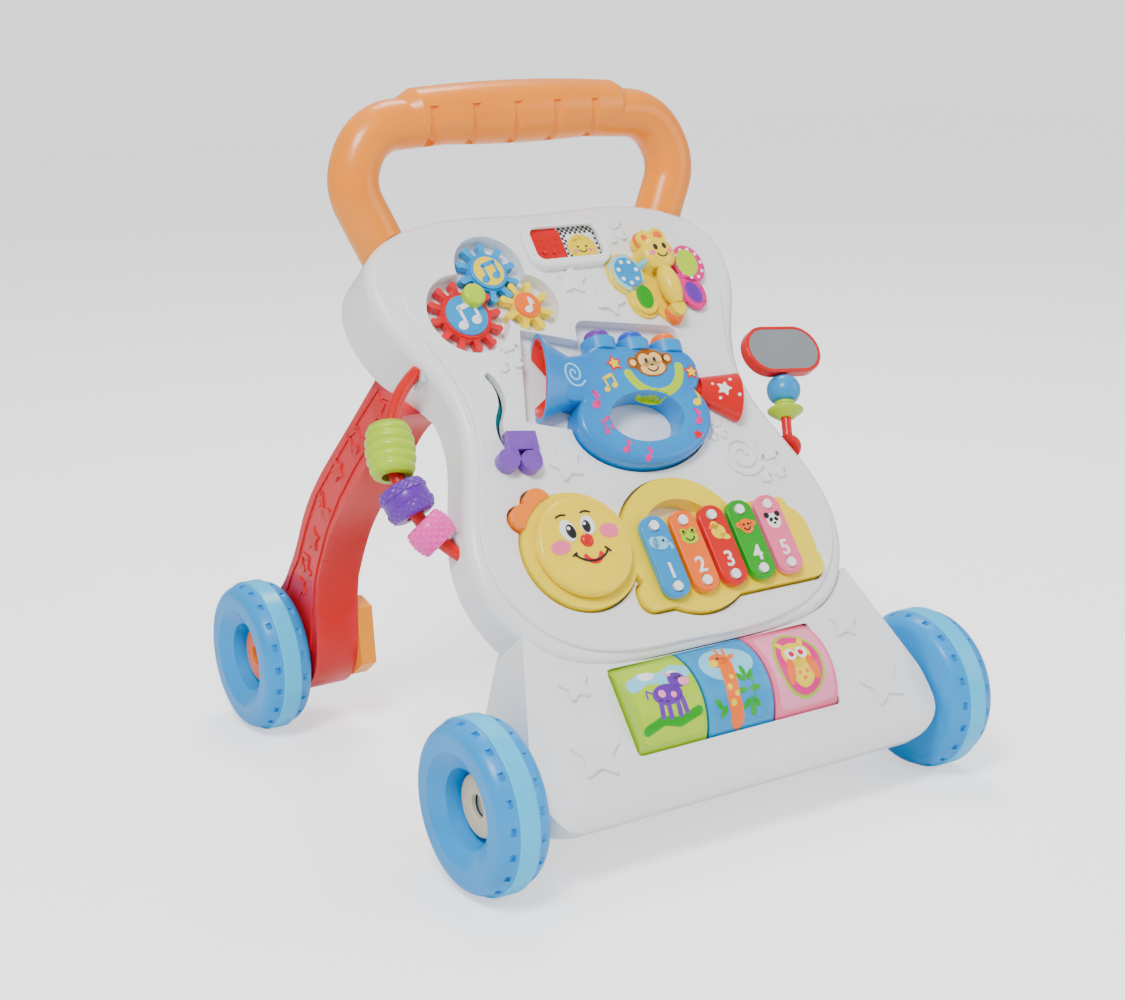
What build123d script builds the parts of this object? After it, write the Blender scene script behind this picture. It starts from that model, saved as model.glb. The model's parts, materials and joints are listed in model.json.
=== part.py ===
from build123d import *
import os
from math import cos, radians, sin

os.makedirs("parts", exist_ok=True)

# ---------------------------------------------------------------- driving sizes
# Z is up, the activity panel faces -Y, the child walks behind at +Y.
# The origin is on the floor, under the middle of the overall box.
overall_width = 390.0
overall_depth = 440.0
overall_height = 465.0

running_gap = 0.08        # radial clearance of a shaft in its bore
free_gap = 0.5            # clearance between pieces that move past each other
seat_gap = 0.05           # clearance between pieces that are pushed together

# wheels
wheel_radius = 55.0
wheel_width = 36.0
band_width = 13.6
band_depth = 5.0
hub_hole_radius = 25.0
hub_hole_depth = 21.0
hub_radius = 21.0
axle_radius = 4.0
axle_head_radius = 7.0
axle_head_thickness = 2.5
tread_slots = 20
rear_track_inset = 7.5

front_wheel_x = (overall_width - wheel_width) / 2
rear_wheel_x = front_wheel_x - rear_track_inset
axle_y = overall_depth / 2 - wheel_radius
axle_z = wheel_radius

# activity panel: a tilted plane; u is +X, v runs up the slope, height is off the face
panel_tilt = 52.13
panel_foot_y = -188.4
panel_foot_z = 80.0
panel_normal = (0, -sin(radians(panel_tilt)), cos(radians(panel_tilt)))
panel = Plane(origin=(0, panel_foot_y, panel_foot_z), x_dir=(1, 0, 0), z_dir=panel_normal)
panel_axis = Axis(panel.origin, panel_normal)

wall = 3.0
plate_rise = 3.0
shell_depth = 32.0
rim_round = 8.0
cover_thickness = 3.0
box_depth = 28.0

# pockets in the panel
gear_pocket_depth = 11.0
toy_pocket_depth = 9.0
pocket_gap = 1.6

# gears (round knobbed teeth); pitch radius = gear_module * teeth
gear_module = 1.895
gear_blue_teeth = 10
gear_red_teeth = 12
gear_yellow_teeth = 8
gear_blue_at = (-54.1, 334.8)
gear_red_angle = 227.2
gear_yellow_angle = 305.6
gear_bottom = -10.0
gear_thickness = 6.0
gear_knob_radius = 2.6
gear_knob_out = 1.4
gear_root_drop = 4.6
gear_neck = 4.2
post_radius = 3.0
crank_radius = 8.0
crank_height = 8.0
crank_reach = 14.5

# picture window with its sliding door
window_width = 66.0
window_height = 37.0
window_rise = 6.0
window_rim = 6.0
window_at = (9.5, 347.5)
door_width = 27.0
door_thickness = 2.4

# butterfly page
butterfly_at = (74.0, 303.0)
butterfly_base_thickness = 2.0
page_thickness = 2.4
hinge_pin_radius = 1.6

# note slider in its curved slot
slot_width = 5.2
slot_arc_radius = 24.0
slot_bend_at = (-87.2, 229.6)
slot_lower_turn = 60.0
slot_upper_turn = 70.0
slider_stem = 4.6
slider_height = 7.0

# toy trumpet
toy_bottom = -8.5
trumpet_top = 11.0
loop_at = (13.0, 208.0)
loop_outer = (52.0, 34.0)
loop_hole = (29.0, 18.5)
valve_block_at = (26.0, 243.0)
valve_block = (86.0, 34.0)
valve_block_turn = -10.0
valve_pitch = 26.0
valve_radius = 9.0
valve_collar = 12.0
valve_height = 1.0
bell_mouth = (-50.0, 251.0)
bell_turn = 162.0
bell_half_height = 33.0
bell_half_depth = 15.0
bell_length = 40.0

# worm xylophone
head_at = (-70.0, 127.5)
head_radius = 40.0
drum_radius = 33.5
tufts = (((-101.5, 155.5), 8.5), ((-88.0, 164.0), 9.0))
arch_at = (9.0, 118.0)
arch_outer = 47.5
arch_inner = 32.0
upper_rail_v = 131.5
upper_rail_width = 13.0
rail_v = 88.5
rail_half_height = 10.5
rail_end_u = 108.0
frame_top = 4.0
key_count = 5
key_width = 20.5
key_length = 57.0
key_pitch = 23.2
key_first_u = -15.6
key_v = 110.5
key_bottom = 6.0
key_thickness = 4.5
pin_radius = 3.4
pin_spread = 43.0
drum_travel = 1.5

# base under the panel, with three picture rollers
base_half_top = 128.0
base_half_bottom = 156.0
base_face_drop = 3.0
base_bottom_z = 34.0
base_rear_y = -104.0
roller_window = (160.0, 58.0)
roller_window_v = 20.8
roller_radius = 37.0
roller_length = 51.5
roller_pitch = 53.2
roller_rise = 8.0
roller_shaft_radius = 4.0

# handle
handle_tube = 17.0
handle_base_half = 105.0

# legs
leg_outer_x = 149.0
leg_inner_x = 116.0
bearing_thickness = 12.0

# bead bar on the left side, mirror stalk on the right side
bar_radius = 4.5
bar_bulge = 34.0
bar_high = (-122.5, 276.0, -15.0)
bar_low = (-137.5, 147.0, -22.0)
stalk_radius = 3.5
stalk_foot = (131.0, 177.0, -9.0)
mirror_at = (152.0, 246.0, -1.0)
mirror_size = (63.0, 37.0)
mirror_thickness = 10.0
mirror_turn = -6.0


def finish(piece, name):
    piece.part.label = name
    export_step(piece.part, f"parts/{name}.step")


def on_panel(u, v, height):
    """The point in space at u, v on the panel and a height off its face."""
    return panel.from_local_coords(Vector(u, v, height))


def toward(angle):
    """The direction in space of an angle in the panel's face, from +X."""
    turn = radians(angle)
    return panel.x_dir * cos(turn) + panel.y_dir * sin(turn)


# ---------------------------------------------------------------- shared outlines
plate_half = [(0, 55.5), (62, 58), (106, 75), (134.5, 122), (122, 181), (107, 231),
              (114, 271), (126.3, 317), (114, 352), (78, 364.5), (0, 368.5)]
body_half = [(0, 50), (64, 51.5), (114, 67), (143, 122), (130, 181), (115.5, 231),
             (123, 267), (141, 306), (139, 350), (104, 374), (0, 379)]


def hourglass(points, grow=0.0):
    """A smooth closed outline from the points of its right half, grown by an even margin."""
    left_half = [(-u, v) for u, v in points[-2:0:-1]]
    with BuildLine() as rim:
        Spline(*points, *left_half, periodic=True)
    outline = rim.edge()
    if grow:
        places = [step / rim_samples for step in range(rim_samples)]
        outward = [(outline % place).cross(Vector(0, 0, 1)) for place in places]
        grown = [outline @ place + way * grow for place, way in zip(places, outward)]
        with BuildLine() as rim:
            Spline(*grown, periodic=True)
    with BuildSketch() as shape:
        with BuildLine():
            add(rim.edge())
        make_face()
    return shape.sketch


rim_samples = 40
plate_face = hourglass(plate_half)
body_face = hourglass(body_half)
body_inner_face = hourglass(body_half, -wall)
body_grown_face = hourglass(body_half, wall)

gear_pitch = {
    "blue": gear_module * gear_blue_teeth,
    "red": gear_module * gear_red_teeth,
    "yellow": gear_module * gear_yellow_teeth,
}


def gear_place(name, angle):
    reach = gear_pitch["blue"] + gear_pitch[name]
    turn = radians(angle)
    return (gear_blue_at[0] + reach * cos(turn), gear_blue_at[1] + reach * sin(turn))


gear_at = {
    "blue": gear_blue_at,
    "red": gear_place("red", gear_red_angle),
    "yellow": gear_place("yellow", gear_yellow_angle),
}
gear_tip = gear_knob_out + gear_knob_radius


def gear_pocket_plan(grow=0.0):
    with BuildSketch() as plan:
        for name, (gear_u, gear_v) in gear_at.items():
            with Locations((gear_u, gear_v)):
                Circle(gear_pitch[name] + gear_tip + 3.0 + grow)
    return plan.sketch


def trumpet_plan(grow=0.0):
    """The trumpet seen square on: loop body, valve block and bell neck."""
    with BuildSketch() as plan:
        with Locations(loop_at):
            Ellipse(loop_outer[0] + grow, loop_outer[1] + grow)
        with Locations(Location((*valve_block_at, 0), (0, 0, valve_block_turn))):
            RectangleRounded(valve_block[0] + 2 * grow, valve_block[1] + 2 * grow, 14 + grow)
        with Locations((-22.0, 243.0)):
            RectangleRounded(40 + 2 * grow, 34 + 2 * grow, 12 + grow)
    return plan.sketch


trumpet_face = trumpet_plan()
with BuildSketch() as loop_plan:
    with Locations(loop_at):
        Ellipse(*loop_hole)
loop_face = loop_plan.sketch

bell_plane = Plane(origin=on_panel(*bell_mouth, 0.0), x_dir=toward(bell_turn - 90),
                   z_dir=toward(bell_turn))


def worm_plan(grow=0.0):
    """The worm seen square on: head disc, arch ring, two rails and tail."""
    with BuildSketch() as plan:
        with Locations(head_at):
            Circle(head_radius + grow)
        with Locations(arch_at):
            Circle(arch_outer + grow)
        with Locations((rail_end_u / 2 - 20, rail_v)):
            RectangleRounded(rail_end_u + 40 + 2 * grow, 2 * (rail_half_height + grow), 9 + grow)
        with Locations((rail_end_u - 24, 108.0)):
            RectangleRounded(48 + 2 * grow, 50 + 2 * grow, 20 + grow)
        with Locations((36, upper_rail_v)):
            RectangleRounded(124 + 2 * grow, upper_rail_width + 2 * grow, 6 + grow)
    return plan.sketch


worm_face = worm_plan()
with BuildSketch() as arch_plan:
    with Locations(arch_at):
        Circle(arch_inner)
    with Locations((arch_at[0], rail_v - 40)):
        Rectangle(3 * arch_inner, 80 + 2 * rail_half_height, mode=Mode.SUBTRACT)
    with Locations((36, upper_rail_v)):
        Rectangle(124, upper_rail_width, mode=Mode.SUBTRACT)
arch_face = arch_plan.sketch

# ---------------------------------------------------------------- panel front shell
def bell_pocket_plan(grow=0.0):
    """Room for the bell, its mouth and the valve buttons."""
    with BuildSketch() as plan:
        with Locations(Location((*bell_mouth, 0), (0, 0, bell_turn)) * Location((-14, 0, 0))):
            Rectangle(50 + 2 * grow, 2 * (bell_half_height + 2 + grow))
        with Locations(Location((*valve_block_at, 0), (0, 0, valve_block_turn))):
            with Locations((0, valve_block[1] / 2 + 7)):
                RectangleRounded(2 * (valve_pitch + valve_collar + 2 + grow), 34 + 2 * grow,
                                 8 + grow)
    return plan.sketch


def tuft_pocket_plan(grow=0.0):
    with BuildSketch() as plan:
        for centre, radius in tufts:
            with Locations(centre):
                Circle(radius + pocket_gap + grow)
    return plan.sketch


slot_bend = Vector(*slot_bend_at)
slot_lower_centre = slot_bend + Vector(cos(radians(-38)), sin(radians(-38))) * slot_arc_radius
slot_upper_centre = slot_bend - Vector(cos(radians(-38)), sin(radians(-38))) * slot_arc_radius
with BuildSketch() as slot_plan:
    with BuildLine() as slot_lower_arc:
        CenterArc(slot_lower_centre, slot_arc_radius, 142, slot_lower_turn)
    SlotArc(slot_lower_arc.edge(), slot_width)
    with BuildLine() as slot_upper_arc:
        CenterArc(slot_upper_centre, slot_arc_radius, -38, slot_upper_turn)
    SlotArc(slot_upper_arc.edge(), slot_width)
slot_face = slot_plan.sketch

# the picture rollers turn in a round room cut through the base and the foot of the panel
roller_h = roller_rise - roller_radius
roller_span = 3 * roller_pitch
roller_centre = on_panel(0, roller_window_v, roller_h)
with BuildPart() as roller_room:
    with Locations(Location((0, roller_centre.Y, roller_centre.Z), (0, 90, 0))):
        Cylinder(roller_radius + 1.5, roller_span + 2 * free_gap)

window_cavity = (window_width - 8.0, window_height - 8.0)
window_opening = (window_width - 2 * window_rim, window_height - 2 * window_rim)
# each pocket: its outline, its outline with the wall around it, and its depth
toy_plans = ((trumpet_plan, pocket_gap), (bell_pocket_plan, 0), (worm_plan, pocket_gap),
             (tuft_pocket_plan, 0))
pockets = [(gear_pocket_plan(), gear_pocket_plan(wall), gear_pocket_depth)]
pockets += [(plan(gap), plan(gap + wall), toy_pocket_depth) for plan, gap in toy_plans]

with BuildPart() as front_shell:
    with BuildSketch(panel.offset(-shell_depth)):
        add(body_face)
    extrude(amount=shell_depth - plate_rise)
    fillet(front_shell.faces().sort_by(panel_axis)[-1].edges(), rim_round)
    with BuildSketch(panel.offset(-plate_rise - 1)):
        add(plate_face)
    extrude(amount=plate_rise + 1)
    fillet(front_shell.faces().sort_by(panel_axis)[-1].edges(), 1.6)
    for hollow, walled, depth in pockets:
        with BuildSketch(panel.offset(-depth)):
            add(hollow)
        extrude(amount=depth + 1, mode=Mode.SUBTRACT)
    with BuildSketch(panel.offset(-shell_depth)):
        add(body_inner_face)
        for hollow, walled, depth in pockets:
            add(walled, mode=Mode.SUBTRACT)
    extrude(amount=shell_depth - plate_rise - wall, mode=Mode.SUBTRACT)
    for hollow, walled, depth in pockets:
        with BuildSketch(panel.offset(-shell_depth)):
            add(walled)
        extrude(amount=shell_depth - depth - wall, mode=Mode.SUBTRACT)
    with BuildSketch(panel.offset(-2)):
        with Locations(window_at):
            Rectangle(*window_opening)
    extrude(amount=3, mode=Mode.SUBTRACT)
    with BuildSketch(panel.offset(-plate_rise - wall - 1)):
        add(slot_face)
    extrude(amount=plate_rise + wall + 2, mode=Mode.SUBTRACT)
    add(roller_room.part, mode=Mode.SUBTRACT)
finish(front_shell, "front_shell")

# ---------------------------------------------------------------- rear shell
screw_radius = 1.5
screw_head_radius = 3.6
screw_head = 2.0
screw_places = [(-125, 122), (125, 122), (-104, 235), (104, 235)]
box_foot_v = 247.0
box_slope_v = 52.0
cover_back = shell_depth + cover_thickness
battery_cover_size = (92.0, 62.0)
battery_cover_at = (0, 170)


# Side view of the panel: local x runs up the slope, local y is the height off the face.
side = Plane(origin=panel.origin, x_dir=panel.y_dir, z_dir=(1, 0, 0))


def box_block(inset):
    """The deep box behind the top of the panel, shrunk by inset on its outer faces."""
    back = -shell_depth - box_depth + inset
    with BuildPart() as block:
        with BuildSketch(panel.offset(back)):
            add(body_inner_face if inset else body_face)
        extrude(amount=box_depth - inset + (1 if inset else 0))
        fillet(block.faces().sort_by(panel_axis)[0].edges(), 9 - inset)
        with BuildSketch(side.offset(-200)):
            with BuildLine():
                Polyline((box_foot_v + inset, 10), (box_foot_v + inset, -shell_depth - 4),
                         (box_foot_v + box_slope_v + inset, back), (box_foot_v + box_slope_v, back - 10),
                         (0, back - 10), (0, 10), close=True)
            make_face()
        extrude(amount=400, mode=Mode.SUBTRACT)
    return block.part


box_back = -shell_depth - box_depth
box_outer = box_block(0)
box_inner = box_block(wall)
with BuildPart() as rear_shell:
    with BuildSketch(panel.offset(-cover_back)):
        add(body_face)
    extrude(amount=cover_thickness)
    add(box_outer)
    add(box_inner, mode=Mode.SUBTRACT)
    for place in screw_places:
        with Locations(panel.offset(-cover_back) * Pos(*place, 0)):
            Cylinder(screw_radius + seat_gap, 20, mode=Mode.SUBTRACT)
    add(roller_room.part, mode=Mode.SUBTRACT)
finish(rear_shell, "rear_shell")

with BuildPart() as case_screws:
    for place in screw_places:
        with BuildSketch(panel.offset(-cover_back - screw_head)):
            with Locations(place):
                Circle(screw_head_radius)
        extrude(amount=screw_head)
        with BuildSketch(panel.offset(-cover_back)):
            with Locations(place):
                Circle(screw_radius)
        extrude(amount=cover_thickness + 10)
finish(case_screws, "case_screws")

with BuildPart() as battery_cover:
    with BuildSketch(panel.offset(-cover_back - 2.5)):
        with Locations(battery_cover_at):
            RectangleRounded(*battery_cover_size, 6)
    extrude(amount=2.5)
    fillet(battery_cover.faces().sort_by(panel_axis)[0].edges(), 1.2)
finish(battery_cover, "battery_cover")

with BuildPart() as speaker:
    with BuildSketch(panel.offset(-plate_rise - wall - 12)):
        with Locations((95, 168)):
            Circle(17)
    extrude(amount=12)
finish(speaker, "speaker")

# The whole panel as one block, for cutting what meets it.
with BuildPart() as panel_block:
    with BuildSketch(panel.offset(-cover_back)):
        add(body_face)
    extrude(amount=cover_back + 12)
    add(box_outer)

# ---------------------------------------------------------------- base
base_top_v = 84.0
base_low_v = -42.0


def base_block(inset, body_outline):
    """The base body, shrunk by inset; the panel's own space is taken out of it."""
    front_top = on_panel(0, base_top_v, -base_face_drop)
    front_low = on_panel(0, base_low_v + 8, -base_face_drop)
    with BuildSketch() as half_face:
        with BuildLine():
            Polyline((0, base_top_v), (base_half_top, base_top_v), (base_half_bottom, 0),
                     (base_half_bottom, base_low_v), (0, base_low_v))
            mirror(about=Plane.YZ)
        make_face()
        low_corners = half_face.vertices().filter_by_position(Axis.Y, base_low_v - 1, base_low_v + 1)
        fillet(low_corners.filter_by(lambda corner: abs(corner.X) > 1), 26)
        side_corners = half_face.vertices().filter_by_position(Axis.Y, -1, 1)
        fillet(side_corners, 60)
        offset(amount=-inset)
    with BuildPart() as block:
        with BuildSketch(Plane.YZ.offset(-base_half_bottom)) as profile:
            with BuildLine():
                Polyline((front_top.Y, front_top.Z), (front_low.Y, front_low.Z),
                         (front_low.Y + 2, base_bottom_z), (base_rear_y, base_bottom_z),
                         (base_rear_y, front_top.Z), close=True)
            make_face()
            low = profile.vertices().sort_by(Axis.X)[:2]
            fillet(low.sort_by(Axis.Y)[-1], 22)
            fillet(profile.vertices().sort_by(Axis.X)[:3].sort_by(Axis.Y)[0], 8)
            offset(amount=-inset)
        extrude(amount=2 * base_half_bottom)
        with BuildSketch(panel.offset(-200)):
            add(half_face.sketch)
        extrude(amount=400, mode=Mode.INTERSECT)
        with BuildSketch(panel.offset(-cover_back - inset)):
            add(body_outline)
        extrude(amount=100, mode=Mode.SUBTRACT)
    return block.part


base_outer = base_block(0, body_face)
base_inner = base_block(wall, body_grown_face)

# roller seats: bulkheads beside the window carry the shaft
bulkhead_thickness = 4.0
bulkhead_x = roller_span / 2 + free_gap + bulkhead_thickness / 2
boss_radius = 9.0
boss_length = 56.0
boss_x = 104.0
cover_plate = 2.5

# the underside is open; the base cover closes it
underside_face = base_inner.faces().sort_by(Axis.Z)[0]
underside = extrude(underside_face, amount=wall + 1, dir=(0, 0, -1))

with BuildPart() as base_shell:
    add(base_outer)
    add(base_inner, mode=Mode.SUBTRACT)
    add(underside, mode=Mode.SUBTRACT)
    for sign in (-1, 1):
        with BuildSketch(Plane.YZ.offset(sign * bulkhead_x - bulkhead_thickness / 2)):
            with Locations((roller_centre.Y, roller_centre.Z)):
                Rectangle(60, 60)
        extrude(amount=bulkhead_thickness)
        with BuildSketch(Plane.YZ.offset(sign * (boss_x + boss_length / 2) - boss_length / 2)):
            with Locations((-axle_y, axle_z)):
                Circle(boss_radius)
        extrude(amount=boss_length)
    add(base_outer, mode=Mode.INTERSECT)
    add(underside, mode=Mode.SUBTRACT)
    with BuildSketch(panel.offset(-base_face_drop - 9)):
        with Locations((0, roller_window_v)):
            RectangleRounded(roller_span + 2, roller_window[1], 4)
    extrude(amount=20, mode=Mode.SUBTRACT)
    add(roller_room.part, mode=Mode.SUBTRACT)
    with Locations(Location((0, roller_centre.Y, roller_centre.Z), (0, 90, 0))):
        Cylinder(roller_shaft_radius + seat_gap, 2 * bulkhead_x + 2 * bulkhead_thickness,
                 mode=Mode.SUBTRACT)
    for sign in (-1, 1):
        with Locations(Location((sign * (boss_x + boss_length), -axle_y, axle_z), (0, 90, 0))):
            Cylinder(axle_radius + seat_gap, 2 * boss_length + 2, mode=Mode.SUBTRACT)
finish(base_shell, "base_shell")

with BuildPart() as base_cover:
    with BuildSketch(Plane.XY.offset(base_bottom_z)):
        add(underside_face.moved(Location((0, 0, -base_bottom_z - wall))))
    extrude(amount=cover_plate)
finish(base_cover, "base_cover")

# ---------------------------------------------------------------- picture rollers
roller_names = ("left", "middle", "right")
for place, name in enumerate(roller_names):
    centre_x = (place - 1) * roller_pitch
    with BuildPart() as roller:
        with Locations(Location((centre_x, roller_centre.Y, roller_centre.Z), (0, 90, 0))):
            Cylinder(roller_radius, roller_length)
        chamfer(roller.edges().filter_by(GeomType.CIRCLE), 0.8)
        with Locations(Location((centre_x, roller_centre.Y, roller_centre.Z), (0, 90, 0))):
            Cylinder(roller_shaft_radius + running_gap, roller_length + 2, mode=Mode.SUBTRACT)
    finish(roller, f"roller_{name}")

with BuildPart() as roller_shaft:
    with Locations(Location((0, roller_centre.Y, roller_centre.Z), (0, 90, 0))):
        Cylinder(roller_shaft_radius, 2 * bulkhead_x + bulkhead_thickness)
finish(roller_shaft, "roller_shaft")

# ---------------------------------------------------------------- handle
handle_lean = 7.0
grip_radius = 21.5
grip_end_radius = 18.5
grip_length = 226.0
grip_even_half = 80.0
crown_drop = 6.0
groove_radius = 3.8
groove_depth = 2.2
groove_places = [-72.0, -40.0, -8.0, 24.0, 56.0]
groove_top_angle = 22.0
groove_arc = 97.0
handle_foot = (0, 60, 352)
handle_plane = Plane(
    origin=handle_foot,
    x_dir=(1, 0, 0),
    z_dir=(0, -cos(radians(handle_lean)), sin(radians(handle_lean))),
)
grip_up = (overall_height - handle_foot[2] - grip_radius) / cos(radians(handle_lean))
waist_half = 132.0
waist_up = 50.0
shoulder_half = 114.0

with BuildPart() as handle:
    with BuildLine(handle_plane) as handle_path:
        FilletPolyline(
            (-handle_base_half, -8), (-waist_half, waist_up), (-shoulder_half, grip_up - crown_drop),
            (0, grip_up), (shoulder_half, grip_up - crown_drop), (waist_half, waist_up),
            (handle_base_half, -8), radius=[34, 34, 400, 34, 34])
    with BuildSketch(Plane(origin=handle_path.line @ 0, z_dir=handle_path.line % 0)):
        Circle(handle_tube)
    sweep()
    # the grip swells towards its middle
    grip_centre = handle_plane.from_local_coords(Vector(0, grip_up, 0))
    grip_plane = Plane(origin=grip_centre, x_dir=(1, 0, 0), z_dir=(0, -1, 0))
    with BuildSketch(grip_plane):
        with BuildLine():
            ThreePointArc((-grip_even_half, grip_end_radius), (0, grip_radius),
                          (grip_even_half, grip_end_radius))
            Polyline((grip_even_half, grip_end_radius), (grip_length / 2, 0), (-grip_length / 2, 0),
                     (-grip_even_half, grip_end_radius))
        make_face()
    revolve(axis=Axis(grip_centre, (1, 0, 0)))
    # rounded finger grooves run down the front of the grip and under it
    groove_way = Vector(0, -cos(radians(groove_top_angle)), sin(radians(groove_top_angle)))
    for groove_u in groove_places:
        thinning = (grip_radius - grip_end_radius) * (groove_u / grip_even_half) ** 2
        groove_reach = grip_radius - thinning + groove_radius - groove_depth
        groove_start = grip_centre + Vector(groove_u, 0, 0) + groove_way * groove_reach
        with BuildSketch(Plane(origin=groove_start, x_dir=(1, 0, 0),
                               z_dir=groove_way.cross(Vector(1, 0, 0)))):
            Circle(groove_radius)
        revolve(axis=Axis(grip_centre, (1, 0, 0)), revolution_arc=groove_arc, mode=Mode.SUBTRACT)
    add(panel_block.part, mode=Mode.SUBTRACT)
for name, keep in (("front", Keep.TOP), ("rear", Keep.BOTTOM)):
    with BuildPart() as handle_half:
        add(handle.part)
        split(bisect_by=handle_plane, keep=keep)
    finish(handle_half, f"handle_{name}")

# ---------------------------------------------------------------- legs
leg_outline = [(28, 292), (56, 261), (88, 226), (117.5, 193), (136, 163), (147, 132),
               (167, 104), (190, 82), (196, 54), (177, 31), (145, 28.5), (119, 48),
               (110.6, 97), (103.5, 132), (92, 160), (74, 184), (50, 212), (22, 244), (-8, 268),
               (-4, 298)]
bearing_outline = [(108, 52), (112, 94), (128, 98), (150, 92), (186, 74), (190, 48), (168, 38),
                   (124, 40)]
leg_thickness = leg_outer_x - leg_inner_x
leg_splay = 22.0
leg_splay_z = (120.0, 290.0)

for name, sign in (("left", -1), ("right", 1)):
    with BuildPart() as leg:
        with BuildSketch(Plane.YZ.offset(-leg_outer_x)):
            with BuildLine():
                Spline(*leg_outline, periodic=True)
            make_face()
        extrude(amount=2 * leg_outer_x)
        with BuildSketch(Plane.XZ.offset(-400)):
            with BuildLine():
                Polyline((sign * leg_outer_x, 0), (sign * leg_outer_x, leg_splay_z[0]),
                         (sign * (leg_outer_x - leg_splay), leg_splay_z[1]),
                         (sign * (leg_outer_x - leg_splay), 400),
                         (sign * (leg_inner_x - leg_splay), 400),
                         (sign * (leg_inner_x - leg_splay), leg_splay_z[1]),
                         (sign * leg_inner_x, leg_splay_z[0]), (sign * leg_inner_x, 0), close=True)
            make_face()
        extrude(amount=800, mode=Mode.INTERSECT)
        # the top of the leg lies against the sloping foot of the box
        with BuildSketch(side.offset(-200)):
            with BuildLine():
                Polyline((box_foot_v, -shell_depth - 4), (box_foot_v + box_slope_v, box_back),
                         (box_foot_v + box_slope_v, box_back - 60), (600, box_back - 60),
                         (600, 100), (0, 100), (0, -cover_back), (box_foot_v - 20, -cover_back),
                         close=True)
            make_face()
        extrude(amount=400, mode=Mode.SUBTRACT)
        add(panel_block.part, mode=Mode.SUBTRACT)
        with Locations(Location((sign * leg_outer_x, axle_y, axle_z), (0, 90, 0))):
            Cylinder(axle_radius + seat_gap, 3 * leg_thickness, mode=Mode.SUBTRACT)
    finish(leg, f"leg_{name}")

with BuildPart() as rear_bearings:
    for sign in (-1, 1):
        bearing_inner_x = leg_inner_x - bearing_thickness
        with BuildSketch(Plane.YZ.offset(min(sign * leg_inner_x, sign * bearing_inner_x))):
            with BuildLine():
                Polyline(*bearing_outline, close=True)
            make_face()
            with Locations((axle_y, axle_z)):
                Circle(axle_radius + seat_gap, mode=Mode.SUBTRACT)
        extrude(amount=bearing_thickness)
finish(rear_bearings, "rear_bearings")

# ---------------------------------------------------------------- wheels and stub axles
wheel_places = {
    "front_left": (-front_wheel_x, -axle_y),
    "front_right": (front_wheel_x, -axle_y),
    "rear_left": (-rear_wheel_x, axle_y),
    "rear_right": (rear_wheel_x, axle_y),
}
band_radius = wheel_radius
lobe_radius = wheel_radius - 1.2
half_width = wheel_width / 2
hub_face = half_width - hub_hole_depth

for name, (wheel_x, wheel_y) in wheel_places.items():
    outward = 1 if wheel_x > 0 else -1
    wheel_plane = Plane(origin=(wheel_x, wheel_y, axle_z), x_dir=(0, 1, 0), z_dir=(outward, 0, 0))
    wheel_axis = Axis(wheel_plane.origin, wheel_plane.z_dir)
    section_plane = Plane(origin=wheel_plane.origin, x_dir=(0, 0, 1), z_dir=(0, outward, 0))
    across = section_plane.to_local_coords(wheel_plane.origin + wheel_plane.z_dir).Y
    with BuildPart() as wheel:
        with BuildSketch(section_plane):
            with BuildLine():
                Polyline((hub_radius - 12, -half_width * across), (44, -half_width * across))
                Spline((44, -half_width * across), (lobe_radius - 2.2, -13.4 * across),
                       (lobe_radius, -(band_width / 2) * across),
                       tangents=[(1, 0), (0.25, across)])
                Polyline((lobe_radius, -(band_width / 2) * across),
                         (band_radius - band_depth, -(band_width / 2) * across),
                         (band_radius - band_depth, (band_width / 2) * across),
                         (lobe_radius, (band_width / 2) * across))
                Spline((lobe_radius, (band_width / 2) * across), (lobe_radius - 2.2, 13.4 * across),
                       (44, half_width * across), tangents=[(-0.25, across), (-1, 0)])
                Polyline((44, half_width * across), (36, half_width * across),
                         (hub_hole_radius, (half_width - 7) * across),
                         (hub_hole_radius - 2, hub_face * across), (hub_radius - 12, hub_face * across),
                         (hub_radius - 12, -half_width * across))
            make_face()
        revolve(axis=wheel_axis)
        with BuildSketch(section_plane):
            with Locations(((axle_radius + hub_radius) / 2, (hub_face - half_width) / 2 * across)):
                Rectangle(hub_radius - axle_radius, half_width + hub_face)
        revolve(axis=wheel_axis)
        with Locations(Location(wheel_plane)):
            Cylinder(axle_radius + running_gap, 2 * wheel_width, mode=Mode.SUBTRACT)
            for shoulder in (-1, 1):
                with Locations((0, 0, shoulder * 13.0)):
                    with PolarLocations(lobe_radius - 0.2, tread_slots, start_angle=shoulder * 4.5):
                        Box(3.0, 5.0, 9.0, rotation=(0, 14 * shoulder, 0), mode=Mode.SUBTRACT)
    finish(wheel, f"wheel_{name}")

    with BuildPart() as band:
        with Locations(Location(wheel_plane)):
            Cylinder(band_radius, band_width - 2 * seat_gap)
            Cylinder(band_radius - band_depth + seat_gap, band_width, mode=Mode.SUBTRACT)
        fillet(band.edges().filter_by(GeomType.CIRCLE).sort_by(SortBy.RADIUS)[-2:], 1.0)
    finish(band, f"band_{name}")

# the same stub axle, four times: shank through the hub into its boss or leg
shank_inner = {"front": boss_x - 2, "rear": leg_inner_x - bearing_thickness}
with BuildPart() as stub_axles:
    for name, (wheel_x, wheel_y) in wheel_places.items():
        outward = 1 if wheel_x > 0 else -1
        inner = shank_inner[name.split("_")[0]]
        head_x = abs(wheel_x) + hub_face + 0.3
        with BuildSketch(Plane.YZ.offset(outward * inner)):
            with Locations((wheel_y, axle_z)):
                Circle(axle_radius)
        extrude(amount=outward * (head_x - inner))
        with BuildSketch(Plane.YZ.offset(outward * head_x)):
            with Locations((wheel_y, axle_z)):
                Circle(axle_head_radius)
        extrude(amount=outward * axle_head_thickness)
finish(stub_axles, "stub_axles")

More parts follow.
